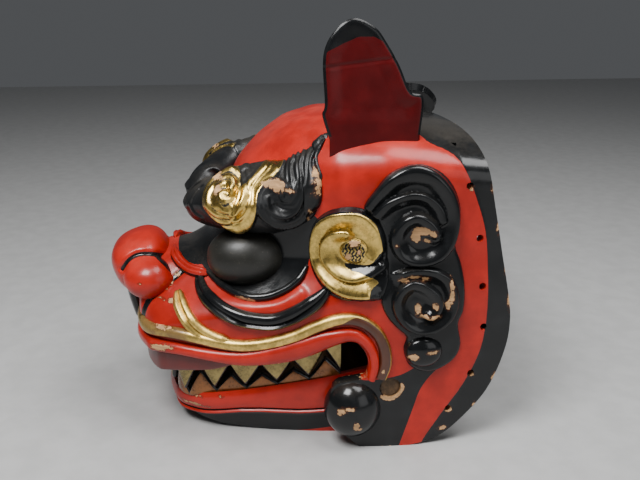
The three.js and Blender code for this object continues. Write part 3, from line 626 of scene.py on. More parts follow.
def nose_skin():
    """Nose bulb and wings: from the bulb's middle each direction goes as far as the farthest of a squarish
    oval bulb, tipped forward, and two oval wings, blended by a soft maximum. The rear is drawn flat inside
    the front wall."""
    centre, radii, power, tip = NOSE_BULB
    origin = np.array(centre, float)
    way = ball((0, 0, 0), (1, 1, 1), 110, 190)
    c, s = math.cos(math.radians(tip)), math.sin(math.radians(tip))
    turned = way @ np.array(((1, 0, 0), (0, c, -s), (0, s, c)))
    reach = [((np.abs(turned) / radii) ** power).sum(-1) ** (-1 / power)]
    for middle, size in NOSE_WINGS:
        o, d = (origin - middle) / size, way / np.asarray(size, float)
        a, b, c = (d * d).sum(-1), (o * d).sum(-1), (o * o).sum() - 1
        root = b * b - a * c
        reach.append(np.where(root > 0, (np.sqrt(root.clip(0)) - b) / a, 0.0))
    reach = np.log(np.exp(0.6 * np.stack(reach)).sum(0)) / 0.6
    points = origin + way * reach[..., None]
    y, z = points[..., 1], points[..., 2]
    groove = near_line(y, z, NOSE_CREASE, 90)
    side = smoothstep(np.abs(points[..., 0]), 20, 32)
    points = points - way * (3.0 * bell(groove, 0, 4.0) * side)[..., None]
    deep = (half_width(y, z) - np.abs(points[..., 0]) > 6) & (y > HEAD_FRONT + 3)
    points[..., 1] = np.where(deep, HEAD_FRONT + 3, points[..., 1])
    under = np.minimum(121 - z + 0.5 * (-172 - y).clip(-20, 0), 26 - np.abs(points[..., 0]))
    crease = np.minimum(1.7 - groove, 40 * (side - 0.5))
    return tube(points, {"black": np.maximum(crease, under), "wear": -6.0, "chip": blobs(y, z, NOSE_CHIPS)})


def front_strip():
    """Black strip down the front of the muzzle: a broad flat oval, narrower and rounded below, carried
    from under the nose to the lip."""
    count = 50
    path = spline(STRIP_PATH, count)
    t = np.linspace(0, 1, count)
    taper = (1 - 0.4 * t) * np.sqrt(np.clip((1.03 - t) / 0.25, 0, 1))
    profile = sized(oval(48, 27, 8, 0.8), taper, 0.3 + 0.7 * np.sqrt(taper))
    points = sweep(path, np.tile((0.0, -1.0, 0.0), (count, 1)), profile)
    return tube(points, {"black": FULL, "wear": 0.35 * (np.abs(points[..., 0]) - 24) - 1.0})


def brow_skin():
    """Left brow: an oval carried along the brow's path. Ribbons wound into two curls and hair strands are
    raised on its outer side, placed by the length along the path and the height."""
    path = spline(BROW, 250)
    x, y, z, depth, half = path.T
    tangent = np.gradient(path[:, :2], axis=0)
    tangent[:, 0] = np.maximum(tangent[:, 0], 0)
    tangent = unit(tangent)
    out = np.stack([tangent[:, 1], -tangent[:, 0]], axis=-1)
    angle = np.linspace(0, 2 * np.pi, 170, endpoint=False)[None]
    rise = half[:, None] * np.sin(angle)
    reach = depth[:, None] * np.cos(angle) - BROW_LEAN * np.maximum(0, rise)
    x, y, z = x[:, None] + out[:, :1] * reach, y[:, None] + out[:, 1:] * reach, z[:, None] + rise
    points = capped(np.stack([x, y, z], axis=-1))
    length = np.r_[0, np.cumsum(np.linalg.norm(np.diff(path[:, :2], axis=0), axis=1))]
    u = np.broadcast_to(np.r_[length[0], length, length[-1]][:, None], points.shape[:2])
    v = points[..., 2]
    flat, faces, _ = tube(points, {})
    faces = turned_out(flat, faces, BROW_MIDDLE)
    normal = vertex_normals(flat, faces).reshape(points.shape)
    snail, curl = oval_reach(u, v, SNAIL), oval_reach(u, v, CURL)
    along, above = u - SNAIL[0], v - SNAIL[1]
    winding = np.cos(np.hypot(along, 0.85 * above) * 1.45 - np.arctan2(above, along))
    tail = smoothstep(v + 0.25 * u, 259, 267) * smoothstep(u, 104, 112)
    tail_lines = np.cos(1.42 * near_line(u, v, BROW_HAIRS[1])) * tail
    curl_lines = np.cos(1.36 * near_line(u, v, BROW_BLACK_RIM)) * smoothstep(-curl, -1.1, -0.9)
    ribbons = [ribbon(u, v, *row) for row in BROW_RIBBONS]
    hairs = [ribbon(u, v, rows, (1.5, 1.5), 2.0, 6.0) for rows in BROW_HAIRS]
    groove = 0.6 * winding * smoothstep(-snail, -1.15, -0.95) + 0.45 * tail_lines + 0.4 * curl_lines
    lift = np.maximum.reduce(ribbons + hairs) + 5.5 * (1 - snail).clip(0)
    lift = lift - 4.5 * bell(oval_reach(u, v, BOWL), 0, 1)
    taper = smoothstep(half, 3, 14)
    lift = lift * np.r_[taper[0], taper, taper[-1]][:, None]
    outer = smoothstep(np.cos(angle) + 0 * u, -0.45, 0.05)
    points = in_wall(points + normal * (outer * (lift + groove))[..., None])
    gold = inside(u, v, spline(BROW_GILDED, 90, closed=True))[0]
    # Painted shade: the gold turns black along the troughs of the snail's winding grooves.
    lines = np.where((snail < 1.05) & ((u < 73) | (v > 226)), 1.15 + 1.5 * winding, FULL)
    paint = {"gold": np.where(outer > 0.4, np.minimum(gold, lines), FAR), "black": FULL,
             "chip": np.where(outer > 0.4, blobs(u, v, BROW_CHIPS), FAR),
             "wear": np.minimum(lift - 4.2, 1.5) * outer - 2.2}
    return points.reshape(-1, 3), faces, paint


def sunk_ball(centre, radii):
    """Oval ball on the left cheek, its inner side kept in the wall."""
    return tube(in_wall(ball(centre, radii, 64, 96)), {})


def side_band(rows, half, depth, lift, count, ribs=0.0, tip=0.3, rib_at=0.0):
    """Band on the left cheek: an oval profile, with a groove along its crest, carried along a curve on the
    head. Gives its places, its faces and the distance of each place from the middle of the band."""
    y, z = spline(rows, count).T
    path = on_head(y, z, lift)
    profile = oval(32, half, depth, 0.8)
    crest = bell(profile[:, 0], rib_at * half, half * 0.36) * (profile[:, 1] > 0)
    profile[:, 1] -= ribs * crest
    t = np.linspace(0, 1, count)
    scale = tip + (1 - tip) * np.sqrt(np.clip(np.minimum(t, 1 - t) / 0.14, 0, 1))
    points = sweep(path, on_head(y, z, 1.0) - on_head(y, z, 0.0), profile, scale)
    return tube(points, np.broadcast_to(profile[None, :, 0], points.shape[:2]).ravel())


def gilded_line():
    """Gilded lip line: an oval carried round the muzzle, and a pointed leaf with a groove on each cheek.
    The lower side of the line is brown, and near the corner of the mouth only a thin upper edge keeps its
    gold."""
    path = round_muzzle(LIP_LINE, 0.6, 300)
    profile = oval(32, 5.4, 5.4, 0.85)
    points = sweep(path, outward(path), profile)
    across = np.broadcast_to(profile[None, :, 0], points.shape[:2]).ravel()
    main, faces, _ = tube(points, {})
    leaf, more, _ = side_band(LIP_BRANCH, 6.8, 5.4, 0.4, 90, ribs=2.6, tip=0.35)
    parts = [(main, faces), (leaf, more), (leaf * LEFT_TO_RIGHT, more)]
    starts = np.cumsum([0, len(main), len(leaf)])
    both = np.vstack([places for places, _ in parts])
    faces = np.vstack([turned_out(*part, HEAD_MIDDLE) + start for part, start in zip(parts, starts)])
    corner = smoothstep(main[:, 1], -2, 14)
    plain = np.ones(2 * len(leaf))
    gold = np.concatenate([(across + 3.0) * (1 - corner) + corner * (across - 3.4), 5.0 * plain])
    # Painted shade: toward the front of the muzzle the line's gold turns to dark bole.
    dull = np.concatenate([3.4 * smoothstep(-main[:, 1], 116, 130), -plain])
    return both, faces, {"gold": gold, "chip": blobs(both[:, 1], both[:, 2], LINE_CHIPS), "wear": dull - 2.4}


def lip_roll():
    """Red upper lip: a broad convex roll between the edge of the mouth and the gilded line, carried round
    the muzzle."""
    edge, line = spline(LIP, 80), spline(LIP_LINE, 80)
    gap = np.linalg.norm(line - edge, axis=1)
    path = round_muzzle(edge + 0.33 * (line - edge), 0.6, 300)
    half = np.interp(np.abs(np.linspace(-1, 1, 300)), np.linspace(0, 1, 80) * 0.9 + 0.1, 0.29 * gap[::-1])
    base = oval(36, 1.0, 1.0, 0.85)
    points = sweep(path, outward(path), sized(base, half, 6.2))
    y, z = points[..., 1], points[..., 2]
    chips = np.where(points[..., 0] > 0, blobs(y, z, LIP_CHIPS), FAR)
    return tube(points, {"chip": chips, "wear": -3 - 2 * np.broadcast_to(base[None, :, 0], y.shape)})


def gum_band():
    """Gum under the front of the upper lip, its dark red painted shade under the lip: an upright band,
    set back from the lip, that narrows to the rear."""
    low = table_at(GUM_LOW, GUM_Y)
    high = lip_height(GUM_Y) + 2
    path = round_muzzle(np.stack([GUM_Y, (low + high) / 2], axis=-1), -4.5, 240)
    half = np.interp(path[:, 1], GUM_Y[::-1], ((high - low) / 2)[::-1])
    profile = sized(oval(24, 1.0, 1.0, 0.55), half, 3.2)
    return tube(sweep(path, outward(path), profile), {"wear": -4.0})


def tooth_path(count):
    """Line of the teeth just inside the head's wall, from the left corner round to the right one."""
    x = np.interp(TOOTH_SIDE_Y, SECTIONS[:, 0], SECTIONS[:, 3]) - WALL - TOOTH_FROM_WALL
    left = np.stack([x, TOOTH_SIDE_Y, 0 * x], axis=-1)
    return spline(np.vstack([left, TOOTH_FRONT, left[::-1] * LEFT_TO_RIGHT]), count)


def lip_height(y):
    """Height of the mouth's upper edge at y, in front of its corner."""
    return table_at(np.array([row for row in LIP if row[0] <= 3][::-1], float), y)


def tooth_row(upper):
    """Row of pointed teeth: a flat plate on the tooth line with rounded edges, its free edge drawn out to
    a point once in each tooth. Gold stays clear of that edge, which is painted black as shade of the
    dark mouth between the rows."""
    count = 900
    path = tooth_path(count)
    length = np.linalg.norm(np.diff(path, axis=0), axis=1).sum()
    steps = 2 * round(length / TOOTH_PITCH)
    phase = np.linspace(0, steps / 2, count) + (0 if upper else 0.5)
    off = np.sqrt((np.abs(phase - np.round(phase)) * 2) ** 2 + 0.004)
    y = path[:, 1]
    gum, jaw = lip_height(y) - LIP_OVERHANG, table_at(JAW_TOP, y)
    if upper:
        root, point = gum + 12, (jaw + 4) * (1 - off) + gum * off
    else:
        root, point = jaw - 3, (gum - 10) * (1 - off) + (jaw + 1.5) * off
    angle = np.linspace(0, 2 * np.pi, 32, endpoint=False)
    c, s = np.cos(angle), np.sin(angle)
    tangent = unit(np.gradient(path, axis=0))
    side = np.stack([-tangent[:, 1], tangent[:, 0]], axis=-1)
    across = TOOTH_HALF * (1 - 0.3 * off ** 2)[:, None] * signed_power(c, 0.5) * (1 - 0.2 * (s < 0) * s ** 2)
    across = across - (0 if upper else LOWER_INSET)
    level = 0.5 + 0.5 * signed_power(s, 0.6)
    height = point[:, None] + (root - point)[:, None] * level
    x, y = path[:, :1] + side[:, :1] * across, path[:, 1:2] + side[:, 1:] * across
    points = capped(np.stack([x, y, height], axis=-1))
    free = np.abs(points[..., 2] - point[np.r_[0, 0:count, count - 1]][:, None])
    # The black along the free edge is painted shade of the mouth behind the teeth.
    return tube(points, {"gold": free - 2.6, "black": FULL, "wear": 1.2 - 0.45 * free})


def spiral_skin():
    """Gilded cheek spiral: a grid cut to its outline, lifted as a rolled field with a wound rim, a second
    ridge inside it and a small raised middle."""
    y, z, faces, depth = cut_grid((-25, 45), (134, 219), RELIEF_CELL, spline(GOLD_EDGE, 110, closed=True),
                                  RELIEF_SLACK)
    edge = np.clip(depth / RELIEF_ROUND, 0, 1)
    centre = oval_reach(y, z, SPIRAL_EYE)
    rim = ribbon(y, z, GOLD_RIM, (5.0, 6.0), 3.6, 15.0)
    ridge = ribbon(y, z, GOLD_RIDGE, (4.5, 6.5), 2.6, 12.0)
    lift = 3.6 * dome(1 - edge) + np.maximum.reduce([rim, ridge, 4.5 * dome(centre)])
    points = on_head(y, z, lift - EDGE_SINK * (depth <= 0))
    scribble = np.cos(2.3 * y + 1.4 * np.sin(1.1 * z)) + 0.7 * np.cos(1.9 * z + 1.7 * np.sin(1.3 * y))
    gold = np.minimum(depth - 3.4, -inside(y, z, spline(GOLD_WEDGE, 60, closed=True))[0])
    gold = np.where(centre < 0.85, np.minimum(gold, 0.9 * scribble - 0.2), gold)
    # Painted shade: the channel inside the wound rim, away from the inner ridge, has its gold turned to dark
    # bole.
    hollow = 1.6 - np.abs(rim - 1.2) - 4 * (ridge > 2)
    paint = {"gold": gold, "black": FULL, "chip": blobs(y, z, SPIRAL_CHIPS), "wear": 1.5 * hollow - 2.4}
    return used(points, faces, paint)


def mane_relief(y, z, depth):
    """Height of the mane above the cheek: a field with a rolled edge, curls wound as sloping ribbons on low
    cones, and a knob."""
    edge = np.clip(depth / RELIEF_ROUND, 0, 1)
    cones = [2.2 * (1 - oval_reach(y, z, cone)).clip(0) for cone in MANE_CONES]
    ribbons = [ribbon(y, z, *row) for row in MANE_RIBBONS] + [7.0 * dome(oval_reach(y, z, MANE_KNOB))]
    return 4.2 * dome(1 - edge) + np.maximum.reduce(ribbons) + np.maximum.reduce(cones)


def mane_skin(top):
    """Mane on the left cheek: a grid in the side view cut to the mane's outline, no higher than top, and
    lifted by its relief."""
    outline = spline(MANE, 150, closed=True)
    outline[:, 1] = np.minimum(outline[:, 1], top)
    y, z, faces, depth = cut_grid((14, 108), (69, min(256, top + 3)), RELIEF_CELL, outline, RELIEF_SLACK)
    relief = mane_relief(y, z, depth)
    points = on_head(y, z, relief - EDGE_SINK * (depth <= 0))
    paint = {"black": FULL, "chip": blobs(y, z, MANE_CHIPS), "wear": np.minimum(relief - 9.4, 1.0) - 1.6}
    return used(points, faces, paint)


def jaw_skin():
    """Outer skin of the lower jaw: from the front middle to the rear, each station goes down the left
    side, under the floor and up the right side. A broad rolled lip, a groove and a thin ridge stand over
    the set-back flank."""
    plan = spline(JAW_PLAN, 190)
    tangent = unit(np.gradient(plan, axis=0))
    out = np.stack([tangent[:, 1], -tangent[:, 0]], axis=-1)
    out[0] = (0, -1)
    top, low, lip = (table_at(rows, plan[:, 1:]) for rows in (JAW_TOP, JAW_UNDER, JAW_LIP_LOW))
    lip = np.maximum(low + 0.5, lip)
    ridge = np.maximum(low + 0.3, lip - 5.5)
    down = np.linspace(0, 1, 24)[None]
    z = np.hstack([top + (lip - top) * down, lip + (ridge - lip) * down[:, 2:],
                   ridge + (low - ridge) * down[:, 2:]])
    share = (z - lip) / (top - lip)
    under = (lip - z) / (lip - ridge)
    face = 2.6 * (2 * share - 1).clip(-1, 1) ** 2 - 0.6
    step = np.interp(under, (0, 0.18, 0.42, 0.6, 0.85, 1.0, 1.6), (2.4, 4.2, 3.4, 2.4, 2.6, 5.0, 6.0))
    inset = np.where(z >= lip, face + 0.6 * (1 - share).clip(0, 1), step)
    inset = inset + np.interp(z, (0, 24), (5, 0)) * (under > 1)
    x, y = plan[:, :1] - out[:, :1] * inset, plan[:, 1:] - out[:, 1:] * inset
    inward = np.linspace(1, 0, 12)[None, 1:]
    x = np.hstack([np.maximum(x, 0), np.maximum(x[:, -1:], 0) * inward])
    y = np.hstack([y, y[:, -1:] + 0 * inward])
    z = np.hstack([z, z[:, -1:] + 0 * inward])
    left = np.stack([x, y, z], axis=-1)
    points = np.hstack([left, left[:, -2::-1] * LEFT_TO_RIGHT])
    py, pz = points[..., 1], points[..., 2]
    edge = ridge + 0 * pz
    strip = 6.5 * smoothstep(py, -45, 12) - pz - 0.5
    chips = np.where(points[..., 0] > 0, blobs(py, pz, JAW_CHIPS), FAR)
    # The flank below the ridge is black lacquer. The thin black line in the groove just under the lip is
    # painted shade.
    paint = {"black": np.maximum(np.minimum(edge - pz, -strip), 0.8 - np.abs(pz - lip + 1.4)),
             "chip": chips, "wear": 0.9 - 0.8 * np.abs(pz - edge)}
    return points.reshape(-1, 3), grid_faces(*py.shape), paint


def ear_skin():
    """Ear as a dished leaf in its own frame: a grid cut to the ear's outline, hollowed on its outer face."""
    outline = np.vstack([EAR_ENDS[:1], spline(EAR, 110), EAR_ENDS[1:]])
    y, z, faces, depth = cut_grid((-46, 43), (-12, 102), EAR_CELL, outline, EAR_SLACK)
    tip = table_at(EAR_BLACK_TIP, y)
    crease = np.abs(z - (66 + 0.12 * y))
    edge = np.clip(depth / 2.5, 0, 1)
    dish = 1.7 * smoothstep(depth, 3, 16) * smoothstep(z, 16, 30)
    x = EAR_WALL / 2 - 1.6 * (1 - edge) ** 2 - dish - 0.8 * bell(crease, 0, 2.5)
    paint = {"black": np.maximum(z - tip, np.where(z < 6, FAR, 2.2 - depth)), "wear": 0.2 - 0.6 * depth}
    return used(np.stack([x, y, z], axis=-1), faces, paint)


def math_operator(operation, swapped=False):
    """Operator of a shader value: it adds one Math node, with the two values swapped in a reflected form."""
    def apply(self, other):
        first, second = (other, self) if swapped else (self, other)
        return self.paint.node("ShaderNodeMath", {"operation": operation}, {0: first, 1: second})
    return apply


class Wire:
    """A shader value that takes part in sums and products."""

    def __init__(self, paint, socket):
        self.paint, self.socket = paint, socket

    __add__, __radd__ = math_operator("ADD"), math_operator("ADD", True)
    __sub__, __rsub__ = math_operator("SUBTRACT"), math_operator("SUBTRACT", True)
    __mul__, __rmul__ = math_operator("MULTIPLY"), math_operator("MULTIPLY", True)


class Paint:
    """A node material under construction."""

    def __init__(self, name):
        self.material = bpy.data.materials.new(name)
        self.material.use_nodes = True
        self.tree = self.material.node_tree
        self.tree.nodes.clear()

    def node(self, kind, settings=None, inputs=None, output=0):
        """Adds a node: its settings first, then its sockets as values or links. Gives one of its outputs."""
        made = self.tree.nodes.new(kind)
        for key, value in (settings or {}).items():
            setattr(made, key, value)
        for key, value in (inputs or {}).items():
            if isinstance(value, Wire):
                self.tree.links.new(value.socket, made.inputs[key])
            else:
                made.inputs[key].default_value = value
        return Wire(self, made.outputs[output]) if made.outputs else made

    def noise(self, scale, detail=4.0, rough=0.55, stretch=None):
        """Noise on object coordinates, from about 0.25 to 0.75."""
        place = self.node("ShaderNodeTexCoord", output="Object")
        if stretch:
            place = self.node("ShaderNodeMapping", {}, {"Vector": place, "Scale": stretch})
        return self.node("ShaderNodeTexNoise", {}, {
            "Vector": place, "Scale": scale, "Detail": detail, "Roughness": rough})

    def depth(self, name):
        """One of the piece's paint depths, in millimetres."""
        return self.node("ShaderNodeAttribute", {"attribute_name": name}, output="Fac")

    def step(self, value, low, high):
        """Smooth step from 0 at low to 1 at high."""
        return self.node("ShaderNodeMapRange", {"interpolation_type": "SMOOTHSTEP"},
                         {"Value": value, "From Min": low, "From Max": high}, output="Result")

    def mix(self, share, first, second):
        """Colour between two colours."""
        return self.node("ShaderNodeMix", {"data_type": "RGBA"}, {0: share, 6: first, 7: second}, output=2)

    def finish(self, colour, roughness, metallic, height, coat=0.25, bump=0.0006, shine=0.5):
        """Ends the material in one shader: bump is how deep the height goes, in metres."""
        normal = self.node("ShaderNodeBump", {}, {"Strength": 0.5, "Distance": bump, "Height": height})
        shader = self.node("ShaderNodeBsdfPrincipled", {}, {
            "Base Color": colour, "Roughness": roughness, "Metallic": metallic, "Normal": normal,
            "Coat Weight": coat, "Coat Roughness": 0.12, "Specular IOR Level": shine})
        self.node("ShaderNodeOutputMaterial", {}, {"Surface": shader})
        return self.material


def rgb(colour, gain=1.0):
    """Colour property as a socket value."""
    return (colour[0] * gain, colour[1] * gain, colour[2] * gain, 1.0)


def lacquer(name, paints, ground, gloss, leaf="gold", leaf_metal=1.0, coat=0.25, shine=0.5):
    """Lacquered wood: a ground colour, black and gilded fields by their depths, gold rubbed down to its
    bole, and on some pieces gold turned to bole as painted shade in hollows, chips down to the wood,
    dust on the upper faces and a little unevenness of the brush. Ground and leaf name colours."""
    ground, leaf = getattr(paints, ground), getattr(paints, leaf)
    p = Paint(name)
    broad, patch, fine = p.noise(14, 3), p.noise(75, 4), p.noise(420, 5, 0.6)
    tiny = p.noise(1500, 3)
    ragged = (fine - 0.5) * 1.6
    colour = p.mix(p.step(broad + (patch - 0.5) * 0.5, 0.3, 0.7), rgb(ground, 0.72), rgb(ground, 1.12))
    colour = p.mix(p.step(fine, 0.56, 0.8) * 0.35, colour, rgb(ground, 0.45))
    black = p.step(p.depth("black") + ragged * 0.25, -0.12, 0.12)
    jet = p.mix(p.step(patch, 0.45, 0.75), rgb(paints.black), rgb(paints.black, 1.7))
    colour = p.mix(black, colour, jet)
    gold = p.step(p.depth("gold") + ragged * 0.5, -0.15, 0.15)
    leaf = p.mix(p.step(patch + (fine - 0.5) * 0.6, 0.35, 0.68), rgb(leaf, 0.62), rgb(leaf, 1.1))
    # Gold turns to bole where rubbed, and also as painted shade where a piece marks its hollows this way.
    rubbed = p.step(p.depth("wear") + (patch - 0.5) * 5.0 + ragged, 0.2, 1.4)
    leaf = p.mix(rubbed * 0.8, leaf, rgb(paints.bole))
    colour = p.mix(gold, colour, leaf)
    speck = p.step(p.depth("wear") * 0.35 + (fine - 0.5) * 5.2 + (patch - 0.5) * 3.0, 1.8, 2.0)
    depth = p.depth("chip") + (fine - 0.5) * 5.0 + (patch - 0.5) * 5.0
    chip = p.node("ShaderNodeMath", {"operation": "MAXIMUM"}, {0: p.step(depth, 0.0, 0.35), 1: speck})
    halo = p.step(depth, -1.0, -0.2) * 0.6
    grain = p.noise(95, 4, 0.6, (1.0, 0.25, 2.4))
    timber = p.mix(p.step(grain, 0.35, 0.65), rgb(paints.wood, 0.7), rgb(paints.wood, 1.15))
    colour = p.mix(halo, colour, rgb(paints.bole, 0.8))
    colour = p.mix(chip, colour, timber)
    normal = p.node("ShaderNodeNewGeometry", output="Normal")
    up = p.node("ShaderNodeSeparateXYZ", {}, {0: normal}, output="Z")
    dust = p.step(up, 0.45, 1.0) * p.step(broad + (fine - 0.5) * 0.25, 0.4, 0.7) * 0.1
    colour = p.mix(dust * (1 - chip), colour, rgb(paints.dust))
    rough = gloss + (patch - 0.5) * 0.16 + (fine - 0.5) * 0.1 - 0.13 * black + gold * (0.42 - gloss)
    rough = rough + 0.3 * dust + 0.4 * chip
    metal = gold * (1 - chip) * (leaf_metal - 0.75 * leaf_metal * rubbed)
    height = patch * 0.55 + tiny * 0.06 + fine * 0.12 + black * 0.12 + gold * 0.15
    height = height - 0.9 * chip + chip * grain * 0.5
    return p.finish(colour, rough, metal, height, coat=coat, shine=shine)


def bare_wood(name, paints, tone, stretch=(0.25, 1.0, 1.0)):
    """Unpainted wood: grain drawn out along X by the stretch, with a few dark pores."""
    p = Paint(name)
    grain = p.noise(60, 5, 0.65, stretch)
    pores = p.noise(900, 3, 0.6, (0.2, 1.0, 1.0))
    colour = p.mix(p.step(grain, 0.36, 0.66), rgb(paints.wood, 0.4 * tone), rgb(paints.wood, 0.95 * tone))
    colour = p.mix(p.step(pores, 0.55, 0.7) * 0.6, colour, rgb(paints.wood, 0.18 * tone))
    return p.finish(colour, 0.72 + (grain - 0.5) * 0.2, 0.0, grain + pores * 0.5, coat=0.0, bump=0.0008)


def matt_black(name, paints):
    """Dull dark paint of the eye, brushed and a little rubbed."""
    p = Paint(name)
    broad, fine = p.noise(30, 4), p.noise(600, 4)
    colour = p.mix(p.step(broad, 0.35, 0.7), rgb(paints.eye, 0.7), rgb(paints.eye, 1.5))
    colour = p.mix(p.step(fine, 0.6, 0.75) * 0.3, colour, rgb(paints.dust, 0.5))
    return p.finish(colour, 0.44 + (broad - 0.5) * 0.2, 0.0, broad * 0.5 + fine * 0.2, coat=0.05)


def add_piece(name, shape, body, slot, materials, replaced=(), wall=0.0, middle=HEAD_MIDDLE, mirror=False):
    """Makes one piece of the head from places, four-cornered faces and paint depths, and hands it to its
    body. A wall gives it a second skin with the last material; mirror makes it for the right side."""
    points, faces, paint = shape
    side = LEFT_TO_RIGHT if mirror else np.ones(3)
    points = points * side
    faces = turned_out(points, faces, middle * side)
    outer = len(faces)
    if wall:
        points, faces = thicken(points, faces, wall)
    mesh = bpy.data.meshes.new(name)
    mesh.from_pydata(((points + (0, BACK_SHIFT, 0)) * MM).tolist(), [], faces.tolist())
    for key in PAINTS:
        values = np.resize(paint.get(key, FAR), len(points))
        mesh.attributes.new(key, "FLOAT", "POINT").data.foreach_set("value", values.astype(np.float32))
    index = np.zeros(len(faces), np.int32)
    index[outer:2 * outer] = len(materials) - 1
    mesh.polygons.foreach_set("material_index", index)
    mesh.polygons.foreach_set("use_smooth", np.ones(len(faces), bool))
    work = bmesh.new()
    work.from_mesh(mesh)
    bmesh.ops.remove_doubles(work, verts=work.verts, dist=MERGE_DISTANCE)
    bmesh.ops.dissolve_degenerate(work, edges=work.edges, dist=MERGE_DISTANCE / 2)
    work.to_mesh(mesh)
    work.free()
    mesh.set_sharp_from_angle(angle=math.radians(SHARP_ANGLE))
    for material in materials:
        mesh.materials.append(material)
    piece = bpy.data.objects.new(name, mesh)
    bpy.context.scene.collection.objects.link(piece)
    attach(piece, body)
    if replaced:
        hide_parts(*replaced)


def colour_property(label, text, value):
    """Colour setting with its name, description and default."""
    return bpy.props.FloatVectorProperty(name=label, description=text, default=value, subtype="COLOR", size=3,
                                         min=0.0, max=1.0)


def length_property(label, text, value):
    """Length setting in metres with its name, description and default."""
    return bpy.props.FloatProperty(name=label, description=text, default=value, unit="LENGTH", min=0.0)


class LionHeadColours(bpy.types.PropertyGroup):
    """Colours of the lacquers, gilding and wood."""
    red: colour_property("Red lacquer", "Vermilion of the face, lips and bands", (0.45, 0.016, 0.008))
    crimson: colour_property("Crimson lacquer", "Dark red of the ears", (0.075, 0.0022, 0.003))
    black: colour_property("Black lacquer", "Black of the mane, brows and rim", (0.006, 0.0065, 0.007))
    gold: colour_property("Gold leaf", "Gilding of the lip line, spirals and teeth", (0.78, 0.54, 0.15))
    # Olive leaf: the upper teeth's own dulled gilding, made darker as well as painted shade of the mouth.
    olive: colour_property("Olive leaf", "Dulled gilding of the upper teeth", (0.33, 0.25, 0.09))
    # Brown leaf: the lower teeth's own brown gilding, made much darker as painted shade inside the jaw.
    brown: colour_property("Brown leaf", "Darkened gilding of the lower teeth", (0.27, 0.1, 0.025))
    # Gum: its dark red is painted shade under the upper lip.
    gum: colour_property("Gum", "Dark red gum over the upper teeth", (0.12, 0.008, 0.006))
    # Bole also shows as painted shade in the spiral channels and at the front of the lip line.
    bole: colour_property("Bole", "Brown ground under worn gold leaf", (0.07, 0.02, 0.008))
    wood: colour_property("Bare wood", "Wood in the chips and inside", (0.52, 0.3, 0.14))
    eye: colour_property("Eye", "Dull dark paint of the eyes", (0.014, 0.0135, 0.0105))
    dust: colour_property("Dust", "Dust on upper faces", (0.32, 0.27, 0.21))


class LionHeadSizes(bpy.types.PropertyGroup):
    """Sizes that the looks add to the solid frame."""
    wall: length_property("Wall", "Thickness of the head's wall", 0.012)
    jaw_wall: length_property("Jaw wall", "Thickness of the lower jaw's wall", 0.013)
    skin: length_property("Relief skin", "How far glued-on relief reaches into the wall", 0.0025)
    floor: length_property("Floor", "Half of the floor's width", 3.0)


# Finishes: the function that makes each one and what it takes after the colours.
FINISHES = {
    "red lacquer": (lacquer, {"ground": "red", "gloss": 0.32, "coat": 0.14, "shine": 0.34}),
    "black lacquer": (lacquer, {"ground": "black", "gloss": 0.3, "coat": 0.1, "shine": 0.32}),
    "dusty black": (lacquer, {"ground": "black", "gloss": 0.5, "coat": 0.04, "shine": 0.35}),
    "crimson lacquer": (lacquer, {"ground": "crimson", "gloss": 0.34, "coat": 0.02, "shine": 0.22}),
    "dull gilding": (lacquer, {"ground": "bole", "gloss": 0.36, "leaf": "olive", "leaf_metal": 0.75}),
    "brown gilding": (lacquer, {"ground": "bole", "gloss": 0.36, "leaf": "brown", "leaf_metal": 0.4}),
    "dark gum": (lacquer, {"ground": "gum", "gloss": 0.4}),
    "gilding": (lacquer, {"ground": "bole", "gloss": 0.34}),
    "hollow wood": (bare_wood, {"tone": 0.3}),
    "rod wood": (bare_wood, {"tone": 0.26, "stretch": (0.2, 1.6, 1.6)}),
    "peg wood": (bare_wood, {"tone": 1.0}),
    "eye paint": (matt_black, {}),
}


def finish_named(context, name):
    """One of the head's finishes, made the first time it is asked for."""
    if name not in bpy.data.materials:
        maker, choices = FINISHES[name]
        maker(name, context.scene.lion_head_colours, **choices)
    return bpy.data.materials[name]


class PieceOperator:
    """What the operators of the head's pieces share."""
    bl_options = {"REGISTER", "UNDO"}

    def execute(self, context):
        self.build(context, context.scene.lion_head_sizes)
        return {"FINISHED"}

    @staticmethod
    def one(context, name, shape, slot, finishes, nodes=(), body="head", **options):
        """A piece in its finishes, shown in place of the named nodes."""
        materials = [finish_named(context, finish) for finish in finishes]
        add_piece(name, shape, body, slot, materials, nodes, **options)

    def pair(self, context, name, shape, slot, finishes, nodes=(), **options):
        """The same piece on the left and, mirrored, on the right."""
        for side in ("left", "right"):
            replaced = [f"{node}_{side}" for node in nodes]
            self.one(context, f"{name}_{side}", shape, slot, finishes, replaced,
                     mirror=side == "right", **options)


class LIONHEAD_OT_shell(PieceOperator, bpy.types.Operator):
    """Add the hollow head with its painted fields"""
    bl_idname = "lion_head.shell"
    bl_label = "Head shell"

    def build(self, context, sizes):
        self.one(context, "painted_head", head_skin(), "red_lacquer", ["red lacquer", "hollow wood"],
                 ["head_shell"], wall=sizes.wall / MM)


class LIONHEAD_OT_nose(PieceOperator, bpy.types.Operator):
    """Add the nose and the black strip below it"""
    bl_idname = "lion_head.nose"
    bl_label = "Nose"

    def build(self, context, sizes):
        self.one(context, "carved_nose", nose_skin(), "red_lacquer", ["red lacquer"], ["nose"],
                 middle=NOSE_BULB[0])
        self.one(context, "front_strip", front_strip(), "black_lacquer", ["black lacquer"],
                 middle=STRIP_MIDDLE)


class LIONHEAD_OT_brows(PieceOperator, bpy.types.Operator):
    """Add the two carved brows"""
    bl_idname = "lion_head.brows"
    bl_label = "Brows"

    def build(self, context, sizes):
        self.pair(context, "carved_brow", brow_skin(), "black_lacquer", ["dusty black"], ["brow"],
                  middle=BROW_MIDDLE)


